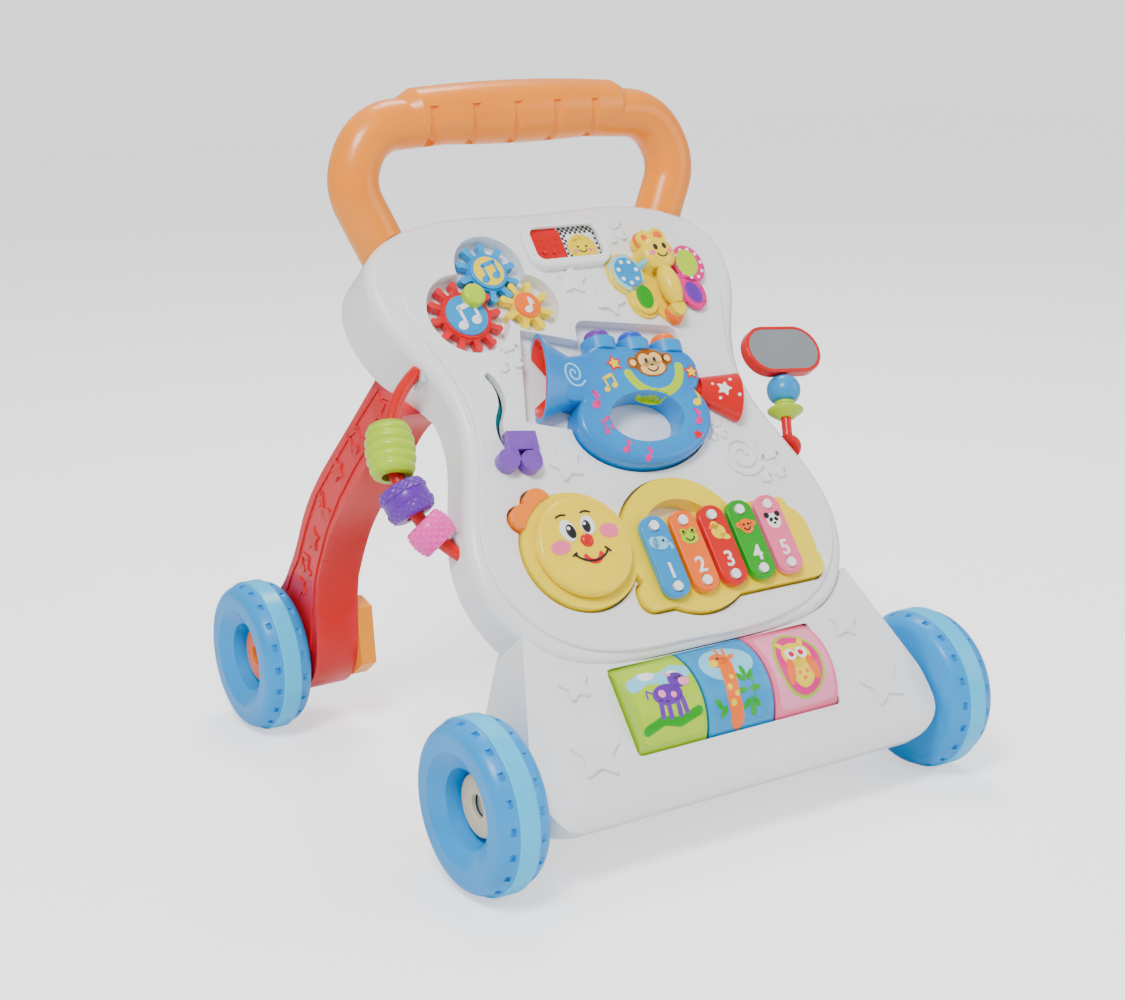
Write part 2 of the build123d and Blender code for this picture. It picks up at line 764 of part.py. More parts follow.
# ---------------------------------------------------------------- picture window
door_track = 3.4
door_gap = 0.4
with BuildPart() as window_frame:
    with BuildSketch(panel):
        with Locations(window_at):
            RectangleRounded(window_width, window_height, 11)
    extrude(amount=window_rise)
    fillet(window_frame.faces().sort_by(panel_axis)[-1].edges(), 2.2)
    with BuildSketch(panel):
        with Locations(window_at):
            RectangleRounded(*window_cavity, 7)
    extrude(amount=door_track, mode=Mode.SUBTRACT)
    with BuildSketch(panel):
        with Locations(window_at):
            RectangleRounded(*window_opening, 6)
    extrude(amount=window_rise, mode=Mode.SUBTRACT)
finish(window_frame, "window_frame")

door_height = window_cavity[1] - 2 * door_gap
door_at = (window_at[0] - window_cavity[0] / 2 + door_gap + door_width / 2, window_at[1])
with BuildPart() as window_door:
    with BuildSketch(panel.offset(door_gap)):
        with Locations(door_at):
            RectangleRounded(door_width, door_height, 6.5)
    extrude(amount=door_thickness)
    for step in (-1, 1):
        with BuildSketch(panel.offset(door_gap)):
            with Locations((door_at[0] + step * 4, door_at[1] - 6)):
                Circle(1.3)
        extrude(amount=door_thickness + 1.2)
finish(window_door, "window_door")

# ---------------------------------------------------------------- butterfly page
page_axis_h = 10.3
torso_radius = 7.5
torso_half = 14.5
butterfly_head_radius = 13.0
wings_left = [((49.0, 319.5), (13.0, 14.5)), ((54.5, 299.0), (10.0, 13.0))]
wings_right = [((101.5, 321.0), (12.5, 15.0)), ((96.0, 298.0), (9.5, 12.5))]
torso_at = butterfly_at
head_centre = (torso_at[0], torso_at[1] + torso_half + butterfly_head_radius - 3.0)
tail_centre = (torso_at[0] - 1.0, torso_at[1] - torso_half - 3.2)

with BuildPart() as butterfly_base:
    with BuildSketch(panel):
        for centre, (half_u, half_v) in wings_left:
            with Locations(centre):
                Ellipse(half_u + 2.0, half_v + 2.0)
        with Locations(torso_at):
            Ellipse(16, 24)
        with Locations(head_centre):
            Circle(butterfly_head_radius + 1.0)
    extrude(amount=butterfly_base_thickness)
    for centre, (half_u, half_v) in wings_left:
        with BuildSketch(panel.offset(butterfly_base_thickness)):
            with Locations(centre):
                Ellipse(half_u, half_v)
        extrude(amount=2.0)
    with BuildSketch(panel.offset(butterfly_base_thickness)):
        with Locations(head_centre):
            Circle(butterfly_head_radius)
        with Locations((head_centre[0] - 6, head_centre[1] + 13), (head_centre[0] + 5, head_centre[1] + 14)):
            Circle(6.5)
    extrude(amount=page_axis_h)
    with BuildSketch(panel.offset(butterfly_base_thickness)):
        with Locations(tail_centre):
            Ellipse(5.5, 6.5)
    extrude(amount=page_axis_h)
    # keep the torso's turning space open
    with Locations(Location(panel) * Location((*torso_at, page_axis_h), (90, 0, 0))):
        Cylinder(torso_radius + free_gap, 2 * torso_half + 2 * free_gap, mode=Mode.SUBTRACT)
        Cylinder(hinge_pin_radius, 2 * torso_half + 4)
finish(butterfly_base, "butterfly_base")

page_bottom = butterfly_base_thickness + free_gap
with BuildPart() as butterfly_page:
    torso_plane = Plane(origin=on_panel(*torso_at, page_axis_h), x_dir=panel.y_dir,
                        z_dir=panel.z_dir)
    with BuildSketch(torso_plane):
        with BuildLine():
            ThreePointArc((-torso_half, 4.0), (0, torso_radius), (torso_half, 4.0))
            Polyline((torso_half, 4.0), (torso_half, 0), (-torso_half, 0), (-torso_half, 4.0))
        make_face()
    revolve(axis=Axis(torso_plane.origin, panel.y_dir))
    with BuildSketch(panel.offset(page_bottom)):
        with Locations((torso_at[0] + 11, torso_at[1])):
            Rectangle(22, 22)
        for centre, (half_u, half_v) in wings_right:
            with Locations(centre):
                Ellipse(half_u, half_v)
    extrude(amount=page_thickness)
    with Locations(Location(panel) * Location((*torso_at, page_axis_h), (90, 0, 0))):
        Cylinder(hinge_pin_radius + running_gap, 3 * torso_half, mode=Mode.SUBTRACT)
finish(butterfly_page, "butterfly_page")

# ---------------------------------------------------------------- gears
gear_top = gear_bottom + gear_thickness
# tooth phases that mesh at rest: a tooth of one gear stands in a gap of the other
gear_phase = {"blue": gear_red_angle}
gear_phase["red"] = gear_red_angle + 180 + 180 / gear_red_teeth
blue_offset = (gear_yellow_angle - gear_red_angle) % (360 / gear_blue_teeth)
gear_phase["yellow"] = (gear_yellow_angle + 180 + blue_offset * gear_blue_teeth / gear_yellow_teeth
                        + 180 / gear_yellow_teeth)
gear_teeth = {"blue": gear_blue_teeth, "red": gear_red_teeth, "yellow": gear_yellow_teeth}
crank_turn = 56.0

for name, teeth in gear_teeth.items():
    pitch = gear_pitch[name]
    gear_plane = panel.offset(gear_bottom)
    with BuildPart() as gear:
        with BuildSketch(gear_plane):
            with Locations(Location((*gear_at[name], 0), (0, 0, gear_phase[name]))):
                Circle(pitch - gear_root_drop)
                with PolarLocations(pitch + gear_knob_out, teeth):
                    Circle(gear_knob_radius)
                with PolarLocations(pitch - gear_root_drop / 2, teeth):
                    Rectangle(gear_root_drop + 3, gear_neck)
        extrude(amount=gear_thickness)
        with BuildSketch(panel.offset(gear_top)):
            with Locations(gear_at[name]):
                Circle(pitch - gear_root_drop - 1.2)
        extrude(amount=0.8)
        with BuildSketch(panel.offset(gear_bottom)):
            with Locations(gear_at[name]):
                Circle(post_radius + running_gap)
        extrude(amount=gear_thickness, mode=Mode.SUBTRACT)
        with BuildSketch(panel.offset(gear_top - 1.6)):
            with Locations(gear_at[name]):
                Circle(post_radius + 2.0)
        extrude(amount=3, mode=Mode.SUBTRACT)
    finish(gear, f"gear_{name}")

with BuildPart() as gear_posts:
    for name in gear_teeth:
        with BuildSketch(panel.offset(-gear_pocket_depth)):
            with Locations(gear_at[name]):
                Circle(post_radius)
        extrude(amount=gear_top - 1.3 + gear_pocket_depth)
        with BuildSketch(panel.offset(gear_top - 1.3)):
            with Locations(gear_at[name]):
                Circle(post_radius + 1.4)
        extrude(amount=1.0)
finish(gear_posts, "gear_posts")

crank_at = (gear_at["red"][0] + crank_reach * cos(radians(crank_turn)),
            gear_at["red"][1] + crank_reach * sin(radians(crank_turn)))
with BuildPart() as crank_knob:
    with BuildSketch(panel.offset(gear_top + 0.8)):
        with Locations((crank_at[0] - 1.5, crank_at[1] - 2.5)):
            Circle(3.0)
    extrude(amount=1.0)
    with BuildSketch(panel.offset(gear_top + 1.8)):
        with Locations(crank_at):
            Circle(crank_radius)
    extrude(amount=crank_height - 1.0)
    fillet(crank_knob.faces().sort_by(panel_axis)[-1].edges(), 2.5)
finish(crank_knob, "crank_knob")

# ---------------------------------------------------------------- note slider
note_head_radius = 7.4
with BuildPart() as note_slider:
    stem_at = slot_lower_centre + Vector(cos(radians(142 + slot_lower_turn - 5)),
                                         sin(radians(142 + slot_lower_turn - 5))) * slot_arc_radius
    with BuildSketch(panel.offset(-plate_rise - wall - 2.0)):
        with Locations((stem_at.X, stem_at.Y)):
            Circle(slider_stem / 2)
    extrude(amount=plate_rise + wall + 3.0)
    with BuildSketch(panel.offset(-plate_rise - wall - 2.4)):
        with Locations((stem_at.X, stem_at.Y)):
            Circle(slider_stem / 2 + 1.5)
    extrude(amount=2.0)
    with BuildSketch(panel.offset(free_gap)):
        with Locations((stem_at.X - 6.5, stem_at.Y - 13), (stem_at.X + 9.0, stem_at.Y - 16.5)):
            Circle(note_head_radius)
        with Locations((stem_at.X + 8.0, stem_at.Y - 1.5)):
            Rectangle(21, 13, rotation=-8)
        with Locations((stem_at.X - 0.5, stem_at.Y - 8), (stem_at.X + 14.5, stem_at.Y - 10)):
            Rectangle(4.4, 14)
    extrude(amount=slider_height)
finish(note_slider, "note_slider")

# ---------------------------------------------------------------- toy trumpet
bell_shape = [(0.0, bell_half_height, bell_half_depth), (-12.0, 24.0, 12.5),
              (-bell_length, 15.0, 9.5)]
bell_wall = 2.4
liner_wall = 1.4


def bell_body(inset):
    """The flattened trumpet bell as a loft of ellipses, shrunk by inset."""
    with BuildPart() as bell:
        for along, half_height, half_depth in bell_shape:
            with BuildSketch(bell_plane.offset(along + (0.5 if inset and along == 0 else 0))):
                Ellipse(half_height - inset, half_depth - inset)
        loft()
    return bell.part


bell_outer = bell_body(0)
bell_hollow = bell_body(bell_wall)
liner_hollow = bell_body(bell_wall + liner_wall)
valve_plane = Plane(origin=on_panel(*valve_block_at, valve_height),
                    x_dir=toward(valve_block_turn), z_dir=panel.z_dir)
valve_axis_rotation = (-90, 0, 0)
block_top = valve_block[1] / 2

with BuildPart() as below_toys:
    with BuildSketch(panel.offset(toy_bottom - 60)):
        with Locations((0, 200)):
            Rectangle(400, 400)
    extrude(amount=60)

with BuildPart() as trumpet_body:
    with BuildSketch(panel.offset(toy_bottom)):
        add(trumpet_face)
    extrude(amount=trumpet_top - toy_bottom)
    fillet(trumpet_body.faces().sort_by(panel_axis)[-1].edges(), 4.5)
    add(bell_outer)
    for step in (-1, 0, 1):
        with Locations(Location(valve_plane) * Location((step * valve_pitch, block_top - 3, 0),
                                                        valve_axis_rotation)):
            Cylinder(valve_collar, 9, align=(Align.CENTER, Align.CENTER, Align.MIN))
    for step in (-1, 0, 1):
        with Locations(Location(valve_plane) * Location((step * valve_pitch, block_top - 3.5, 0),
                                                        valve_axis_rotation)):
            Cylinder(valve_radius + 0.4, 12, align=(Align.CENTER, Align.CENTER, Align.MIN),
                     mode=Mode.SUBTRACT)
        with Locations(Location(valve_plane) * Location((step * valve_pitch, -4, 0),
                                                        valve_axis_rotation)):
            Cylinder(4.4, 30, align=(Align.CENTER, Align.CENTER, Align.MIN), mode=Mode.SUBTRACT)
    with BuildSketch(panel.offset(toy_bottom - 1)):
        add(loop_face)
    extrude(amount=40, mode=Mode.SUBTRACT)
    add(bell_hollow, mode=Mode.SUBTRACT)
    add(below_toys.part, mode=Mode.SUBTRACT)
finish(trumpet_body, "trumpet_body")

with BuildPart() as bell_liner:
    add(bell_hollow)
    add(liner_hollow, mode=Mode.SUBTRACT)
    with BuildSketch(bell_plane.offset(-bell_length)):
        Ellipse(15 - bell_wall, 9.5 - bell_wall)
    extrude(amount=2)
    with BuildSketch(bell_plane):
        Rectangle(200, 200)
    extrude(amount=10, mode=Mode.SUBTRACT)
    add(below_toys.part, mode=Mode.SUBTRACT)
finish(bell_liner, "bell_liner")

for name, step in (("left", -1), ("middle", 0), ("right", 1)):
    with BuildPart() as valve:
        with Locations(Location(valve_plane) * Location((step * valve_pitch, block_top + 1, 0),
                                                        valve_axis_rotation)):
            Cylinder(valve_radius, 13, align=(Align.CENTER, Align.CENTER, Align.MIN))
        fillet(valve.edges().filter_by(GeomType.CIRCLE).sort_by(Axis(panel.origin, panel.y_dir))[-1], 5)
        with Locations(Location(valve_plane) * Location((step * valve_pitch, 1, 0),
                                                        valve_axis_rotation)):
            Cylinder(4.0, block_top + 1, align=(Align.CENTER, Align.CENTER, Align.MIN))
    finish(valve, f"valve_{name}")

mouthpiece_start = (66.0, 224.5)
mouthpiece_turn = -20.0
mouthpiece_length = 30.0
mouthpiece_height = 4.0
mouthpiece_shape = [(0.0, 9.0, 6.0), (mouthpiece_length, 19.0, 10.5)]
surface_gap = 0.6
with BuildPart() as above_plate:
    with BuildSketch(panel.offset(surface_gap)):
        with Locations((0, 200)):
            Rectangle(400, 400)
    extrude(amount=60)
with BuildPart() as mouthpiece:
    start = Plane(origin=on_panel(*mouthpiece_start, mouthpiece_height),
                  x_dir=toward(mouthpiece_turn - 90), z_dir=toward(mouthpiece_turn))
    for along, half_height, half_depth in mouthpiece_shape:
        with BuildSketch(start.offset(along)):
            Ellipse(half_height, half_depth)
    loft()
    with BuildSketch(start.offset(-8)):
        Ellipse(6, 3.2)
    extrude(amount=9)
    add(above_plate.part, mode=Mode.INTERSECT)
    add(trumpet_body.part, mode=Mode.SUBTRACT)
finish(mouthpiece, "mouthpiece")

# ---------------------------------------------------------------- worm xylophone
drum_bottom = frame_top + drum_travel + free_gap
drum_top = 12.0
drum_stem = 6.0
pin_u = [key_first_u + key_pitch * place for place in range(key_count)]
pin_v = (key_v - pin_spread / 2, key_v + pin_spread / 2)

with BuildPart() as worm_frame:
    with BuildSketch(panel.offset(toy_bottom)):
        add(worm_face)
    extrude(amount=frame_top - toy_bottom)
    with BuildSketch(panel.offset(toy_bottom)):
        add(arch_face)
    extrude(amount=frame_top - toy_bottom, mode=Mode.SUBTRACT)
    with BuildSketch(panel.offset(toy_bottom + wall)):
        with Locations(head_at):
            Circle(drum_stem + 0.4)
    extrude(amount=20, mode=Mode.SUBTRACT)
    with BuildSketch(panel.offset(toy_bottom + wall)):
        for u in pin_u:
            for v in pin_v:
                with Locations((u, v)):
                    Circle(pin_radius - 1.0 + seat_gap)
    extrude(amount=20, mode=Mode.SUBTRACT)
finish(worm_frame, "worm_frame")

with BuildPart() as head_drum:
    with BuildSketch(panel.offset(drum_bottom)):
        with Locations(head_at):
            Circle(drum_radius)
    extrude(amount=drum_top - drum_bottom)
    fillet(head_drum.faces().sort_by(panel_axis)[-1].edges(), 3)
    with BuildSketch(panel.offset(toy_bottom + wall + drum_travel + free_gap)):
        with Locations(head_at):
            Circle(drum_stem)
    extrude(amount=drum_bottom - (toy_bottom + wall + drum_travel + free_gap))
finish(head_drum, "head_drum")

with BuildPart() as head_tufts:
    for centre, radius in tufts:
        with BuildSketch(panel.offset(toy_bottom)):
            with Locations(centre):
                Circle(radius)
            with Locations(head_at):
                Circle(head_radius, mode=Mode.SUBTRACT)
        extrude(amount=frame_top + 2 - toy_bottom)
finish(head_tufts, "head_tufts")

key_names = ("one", "two", "three", "four", "five")
for u, name in zip(pin_u, key_names):
    with BuildPart() as key:
        with BuildSketch(panel.offset(key_bottom)):
            with Locations((u, key_v)):
                RectangleRounded(key_width, key_length, 9)
            for v in pin_v:
                with Locations((u, v)):
                    Circle(pin_radius + 0.35, mode=Mode.SUBTRACT)
        extrude(amount=key_thickness)
        fillet(key.faces().sort_by(panel_axis)[-1].edges(), 1.2)
    finish(key, f"key_{name}")

with BuildPart() as key_pins:
    for u in pin_u:
        for v in pin_v:
            with BuildSketch(panel.offset(frame_top)):
                with Locations((u, v)):
                    Circle(pin_radius)
            extrude(amount=key_bottom + key_thickness + 1.0 - frame_top)
            with BuildSketch(panel.offset(toy_bottom + wall + 0.2)):
                with Locations((u, v)):
                    Circle(pin_radius - 1.0)
            extrude(amount=frame_top - toy_bottom - wall - 0.2)
finish(key_pins, "key_pins")

# ---------------------------------------------------------------- bead bar
high = on_panel(*bar_high)
low = on_panel(*bar_low)
chord_middle = (high + low) * 0.5
chord_way = (high - low).normalized()
outward_x = Vector(-1, 0, 0)
bar_out = (outward_x - chord_way * outward_x.dot(chord_way)).normalized()
half_chord = (high - low).length / 2
bar_arc_radius = (half_chord ** 2 + bar_bulge ** 2) / (2 * bar_bulge)
bar_centre = chord_middle - bar_out * (bar_arc_radius - bar_bulge)


def bar_plane(angle):
    """The plane across the bar at an angle above its outermost point."""
    turn = radians(angle)
    out = bar_out * cos(turn) + chord_way * sin(turn)
    along = chord_way * cos(turn) - bar_out * sin(turn)
    return Plane(origin=bar_centre + out * bar_arc_radius, x_dir=out, z_dir=along)


with BuildPart() as bead_bar:
    with BuildLine() as bar_path:
        ThreePointArc(low, chord_middle + bar_out * bar_bulge, high)
    with BuildSketch(Plane(origin=bar_path.line @ 0, z_dir=bar_path.line % 0)):
        Circle(bar_radius)
    sweep()
    add(panel_block.part, mode=Mode.SUBTRACT)
finish(bead_bar, "bead_bar")

# name: angle on the bar, half length, end radius, full radius, bore radius
beads = {
    "pink": (-37.5, 9.5, 11.5, 15.0, 6.0),
    "purple": (-19.2, 11.0, 12.0, 16.8, 6.2),
    "green": (5.6, 17.5, 11.5, 16.2, 7.4),
}
for name, (angle, half_length, end_radius, full_radius, bore) in beads.items():
    across = bar_plane(angle)
    bead_plane = Plane(origin=across.origin, x_dir=across.z_dir, z_dir=across.y_dir)
    side_way = bead_plane.to_local_coords(across.origin + across.x_dir).Y
    with BuildPart() as bead:
        with BuildSketch(bead_plane):
            with BuildLine():
                Polyline((half_length, end_radius * side_way), (half_length, bore * side_way),
                         (-half_length, bore * side_way), (-half_length, end_radius * side_way))
                Spline((-half_length, end_radius * side_way),
                       (-half_length * 0.55, (full_radius - 0.6) * side_way),
                       (0, full_radius * side_way),
                       (half_length * 0.55, (full_radius - 0.6) * side_way),
                       (half_length, end_radius * side_way))
            make_face()
        revolve(axis=Axis(across.origin, across.z_dir))
    finish(bead, f"bead_{name}")

# ---------------------------------------------------------------- mirror stalk
foot = on_panel(*stalk_foot)
mirror_centre = on_panel(*mirror_at)
stalk_way = (mirror_centre - foot).normalized()
stalk_plane = Plane(origin=foot, z_dir=stalk_way)
stalk_length = (mirror_centre - foot).length
socket_radius = 9.0
mirror_edge = stalk_length - mirror_size[1] / 2
rod_top = mirror_edge + 8.0
ball_radius = 11.9
ball_half = 9.0
saucer_half = 6.0
ball_s = mirror_edge - free_gap - 1.5 - ball_half
saucer_s = ball_s - ball_half - saucer_half - free_gap

with BuildPart() as mirror_stalk:
    with Locations(Location(stalk_plane)):
        Cylinder(stalk_radius, rod_top, align=(Align.CENTER, Align.CENTER, Align.MIN))
        Sphere(socket_radius)
    add(panel_block.part, mode=Mode.SUBTRACT)
finish(mirror_stalk, "mirror_stalk")

stalk_beads = {
    "ball": (ball_s, [(ball_half, 7.0), (6.0, 10.3), (0, ball_radius), (-6.0, 10.3), (-ball_half, 7.0)]),
    "saucer": (saucer_s, [(saucer_half, 7.0), (2.0, 9.5), (0, 12.7), (-3.0, 10.0), (-saucer_half, 6.0)]),
}
for name, (place, outline) in stalk_beads.items():
    with BuildPart() as stalk_bead:
        centre = foot + stalk_way * place
        bead_plane = Plane(origin=centre, x_dir=stalk_way, z_dir=stalk_plane.x_dir)
        with BuildSketch(bead_plane):
            with BuildLine():
                Spline(*outline)
                Polyline(outline[-1], (outline[-1][0], stalk_radius + running_gap),
                         (outline[0][0], stalk_radius + running_gap), outline[0])
            make_face()
        revolve(axis=Axis(centre, stalk_way))
    finish(stalk_bead, f"bead_{name}")

mirror_plane = Plane(origin=mirror_centre, x_dir=toward(mirror_turn), z_dir=panel.z_dir)
glass_inset = 2.6
glass_depth = 1.4
with BuildPart() as mirror_frame:
    with BuildSketch(mirror_plane.offset(-mirror_thickness / 2)):
        SlotOverall(*mirror_size)
    extrude(amount=mirror_thickness)
    fillet(mirror_frame.faces().sort_by(panel_axis)[0].edges(), 3.0)
    fillet(mirror_frame.faces().sort_by(panel_axis)[-1].edges(), 1.0)
    with BuildSketch(mirror_plane.offset(mirror_thickness / 2 - glass_depth)):
        SlotOverall(mirror_size[0] - 2 * glass_inset, mirror_size[1] - 2 * glass_inset)
    extrude(amount=glass_depth + 1, mode=Mode.SUBTRACT)
    with Locations(Location(stalk_plane)):
        Cylinder(stalk_radius + running_gap, rod_top + free_gap,
                 align=(Align.CENTER, Align.CENTER, Align.MIN), mode=Mode.SUBTRACT)
finish(mirror_frame, "mirror_frame")

with BuildPart() as mirror_glass:
    with BuildSketch(mirror_plane.offset(mirror_thickness / 2 - glass_depth)):
        SlotOverall(mirror_size[0] - 2 * glass_inset - 0.2, mirror_size[1] - 2 * glass_inset - 0.2)
    extrude(amount=glass_depth - 0.2)
finish(mirror_glass, "mirror_glass")

# clips in the left side wall where the bar plugs in
clip_size = (26.0, 12.0, 3.0)
with BuildPart() as side_sockets:
    for place, lean in ((bar_high, -20.0), (bar_low, 12.0)):
        clip_plane = Plane(origin=on_panel(place[0] - 0.5, place[1], place[2]),
                           x_dir=toward(90 + lean), z_dir=toward(180 + lean))
        with Locations(Location(clip_plane)):
            Box(*clip_size)
    add(panel_block.part, mode=Mode.SUBTRACT)
    add(bead_bar.part, mode=Mode.SUBTRACT)
finish(side_sockets, "side_sockets")
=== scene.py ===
"""Looks of the baby walker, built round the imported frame. Lengths are millimetres until they reach a mesh."""
import json
import math
import random

import bmesh
import bpy
from mathutils import Matrix, Vector
from mathutils.bvhtree import BVHTree


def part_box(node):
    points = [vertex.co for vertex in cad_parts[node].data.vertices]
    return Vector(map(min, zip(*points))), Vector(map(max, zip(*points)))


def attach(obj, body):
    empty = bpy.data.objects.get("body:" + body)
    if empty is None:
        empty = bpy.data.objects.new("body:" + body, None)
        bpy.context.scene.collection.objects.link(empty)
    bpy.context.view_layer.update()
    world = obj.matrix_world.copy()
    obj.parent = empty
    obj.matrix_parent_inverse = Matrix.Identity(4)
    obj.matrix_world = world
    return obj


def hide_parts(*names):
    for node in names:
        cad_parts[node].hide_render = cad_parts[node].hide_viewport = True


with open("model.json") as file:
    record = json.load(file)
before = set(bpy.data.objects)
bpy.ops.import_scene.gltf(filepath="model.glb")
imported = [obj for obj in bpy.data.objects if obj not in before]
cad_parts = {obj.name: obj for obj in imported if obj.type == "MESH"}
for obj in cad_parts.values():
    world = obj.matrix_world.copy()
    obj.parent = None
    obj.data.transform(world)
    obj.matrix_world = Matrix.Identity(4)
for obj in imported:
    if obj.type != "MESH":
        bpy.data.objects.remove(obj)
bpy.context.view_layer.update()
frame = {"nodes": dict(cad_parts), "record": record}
MM = 0.001
nodes = frame["nodes"]
random.seed(7)

# ------------------------------------------------------------ the panel's own axes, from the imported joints
joints = {joint["name"]: joint for joint in frame["record"]["behaviour"]["joints"]}
NORMAL = Vector(joints["trumpet_lift"]["axis"]).normalized()
ACROSS = Vector((1, 0, 0))
UP_SLOPE = NORMAL.cross(ACROSS).normalized()
PANEL_FOOT = Vector((0, -188.4, 80.0))


def on_panel(u, v, height=0.0):
    return (PANEL_FOOT + ACROSS * u + UP_SLOPE * v + NORMAL * height) * MM


def plane_matrix(origin, x_way, z_way):
    """A frame with its origin in metres, x along x_way and z along z_way."""
    z_axis = Vector(z_way).normalized()
    x_axis = (Vector(x_way) - z_axis * Vector(x_way).dot(z_axis)).normalized()
    y_axis = z_axis.cross(x_axis)
    turn = Matrix((x_axis, y_axis, z_axis)).transposed().to_4x4()
    return Matrix.Translation(origin) @ turn


PANEL = plane_matrix(on_panel(0, 0), ACROSS, NORMAL)


# ------------------------------------------------------------ materials
RICHNESS = 1.3


def linear(colour):
    """A screen colour of 0 to 255 as linear light, drawn a little away from grey."""
    light = []
    for part in colour:
        part = part / 255
        light.append(part / 12.92 if part <= 0.04045 else ((part + 0.055) / 1.055) ** 2.4)
    grey = 0.21 * light[0] + 0.72 * light[1] + 0.07 * light[2]
    return (*[min(max(grey + (part - grey) * RICHNESS, 0.0), 1.0) for part in light], 1.0)


def shade(colour, amount):
    """The colour made lighter (amount above 0) or darker (below 0)."""
    goal = 255 if amount > 0 else 0
    return tuple(part + (goal - part) * abs(amount) for part in colour)


def plastic(name, colour, rough=0.3, coat=0.35, grain=900.0, bump=0.04, mottle=0.06, metal=0.0):
    """Moulded plastic: faint flow mottling, a painted highlight that makes convex edges paler, uneven gloss and a fine
    skin texture.
    """
    material = bpy.data.materials.new(name)
    material.use_nodes = True
    tree = material.node_tree
    shader = tree.nodes["Principled BSDF"]
    coords = tree.nodes.new("ShaderNodeTexCoord")

    flow = tree.nodes.new("ShaderNodeTexNoise")
    flow.inputs["Scale"].default_value = 14.0
    flow.inputs["Detail"].default_value = 4.0
    flow.inputs["Distortion"].default_value = 0.6
    tree.links.new(coords.outputs["Object"], flow.inputs["Vector"])
    tint = tree.nodes.new("ShaderNodeValToRGB")
    tint.color_ramp.elements[0].position = 0.3
    tint.color_ramp.elements[0].color = linear(shade(colour, -mottle))
    tint.color_ramp.elements[1].position = 0.7
    tint.color_ramp.elements[1].color = linear(colour)
    tree.links.new(flow.outputs["Fac"], tint.inputs["Fac"])

    # Painted highlight: convex edges, found by pointiness, are mixed towards a lighter version of the colour.
    geometry = tree.nodes.new("ShaderNodeNewGeometry")
    edges = tree.nodes.new("ShaderNodeValToRGB")
    edges.color_ramp.elements[0].position = 0.52
    edges.color_ramp.elements[0].color = (0, 0, 0, 1)
    edges.color_ramp.elements[1].position = 0.62
    edges.color_ramp.elements[1].color = (0.35, 0.35, 0.35, 1)
    tree.links.new(geometry.outputs["Pointiness"], edges.inputs["Fac"])
    edge_highlight = tree.nodes.new("ShaderNodeMixRGB")
    edge_highlight.inputs["Color2"].default_value = linear(shade(colour, 0.3))
    tree.links.new(edges.outputs["Color"], edge_highlight.inputs["Fac"])
    tree.links.new(tint.outputs["Color"], edge_highlight.inputs["Color1"])
    tree.links.new(edge_highlight.outputs["Color"], shader.inputs["Base Color"])

    gloss = tree.nodes.new("ShaderNodeTexNoise")
    gloss.inputs["Scale"].default_value = 35.0
    gloss.inputs["Detail"].default_value = 3.0
    tree.links.new(coords.outputs["Object"], gloss.inputs["Vector"])
    spread = tree.nodes.new("ShaderNodeMapRange")
    spread.inputs["To Min"].default_value = max(rough - 0.06, 0.02)
    spread.inputs["To Max"].default_value = rough + 0.08
    tree.links.new(gloss.outputs["Fac"], spread.inputs["Value"])
    tree.links.new(spread.outputs["Result"], shader.inputs["Roughness"])

    skin = tree.nodes.new("ShaderNodeTexNoise")
    skin.inputs["Scale"].default_value = grain
    skin.inputs["Detail"].default_value = 2.0
    tree.links.new(coords.outputs["Object"], skin.inputs["Vector"])
    lift = tree.nodes.new("ShaderNodeBump")
    lift.inputs["Strength"].default_value = bump
    lift.inputs["Distance"].default_value = 0.0004
    tree.links.new(skin.outputs["Fac"], lift.inputs["Height"])
    tree.links.new(lift.outputs["Normal"], shader.inputs["Normal"])

    shader.inputs["Metallic"].default_value = metal
    shader.inputs["Specular IOR Level"].default_value = 0.35
    shader.inputs["Coat Weight"].default_value = coat * 0.5
    shader.inputs["Coat Roughness"].default_value = 0.12
    return material


WHITE = (243, 244, 246)
COLOURS = {
    "white": WHITE,
    "orange": (244, 150, 0),
    "red": (196, 4, 24),
    "tyre": (20, 150, 214),
    "band": (104, 198, 240),
    "lime": (186, 216, 22),
    "purple": (98, 48, 156),
    "pink": (236, 92, 172),
    "yellow": (252, 222, 20),
    "trumpet": (0, 128, 196),
    "sky": (24, 146, 204),
    "tangerine": (244, 124, 24),
    "green": (30, 156, 60),
    "rose": (243, 120, 152),
    "navy": (30, 80, 190),
    "magenta": (214, 40, 130),
    "brown": (150, 92, 46),
    "tan": (248, 208, 150),
    "black": (20, 18, 20),
    "teal": (60, 190, 200),
    "pale_blue": (150, 215, 240),
    "pale_green": (170, 205, 60),
    "pale_pink": (246, 160, 190),
    "hub": (222, 208, 180),
}
paint = {name: plastic(f"{name}_plastic", colour) for name, colour in COLOURS.items()}
paint["white"] = plastic("shell_white", WHITE, rough=0.34, coat=0.25, mottle=0.02)
paint["tyre"] = plastic("tyre_blue", COLOURS["tyre"], rough=0.36, coat=0.2, bump=0.08)
paint["ink"] = plastic("printed_ink", COLOURS["black"], rough=0.4, coat=0.1)
steel = plastic("axle_steel", (190, 190, 194), rough=0.28, coat=0.0, grain=300.0, bump=0.1, metal=1.0)
clip = plastic("clip_grey", (196, 198, 202), rough=0.42, coat=0.1)
cloth_grey = plastic("speaker_grey", (70, 72, 76), rough=0.6, coat=0.0, bump=0.2)


def mirror_material():
    material = plastic("mirror_silver", (205, 210, 216), rough=0.09, coat=0.0, bump=0.01, mottle=0.1)
    material.node_tree.nodes["Principled BSDF"].inputs["Metallic"].default_value = 0.95
    return material


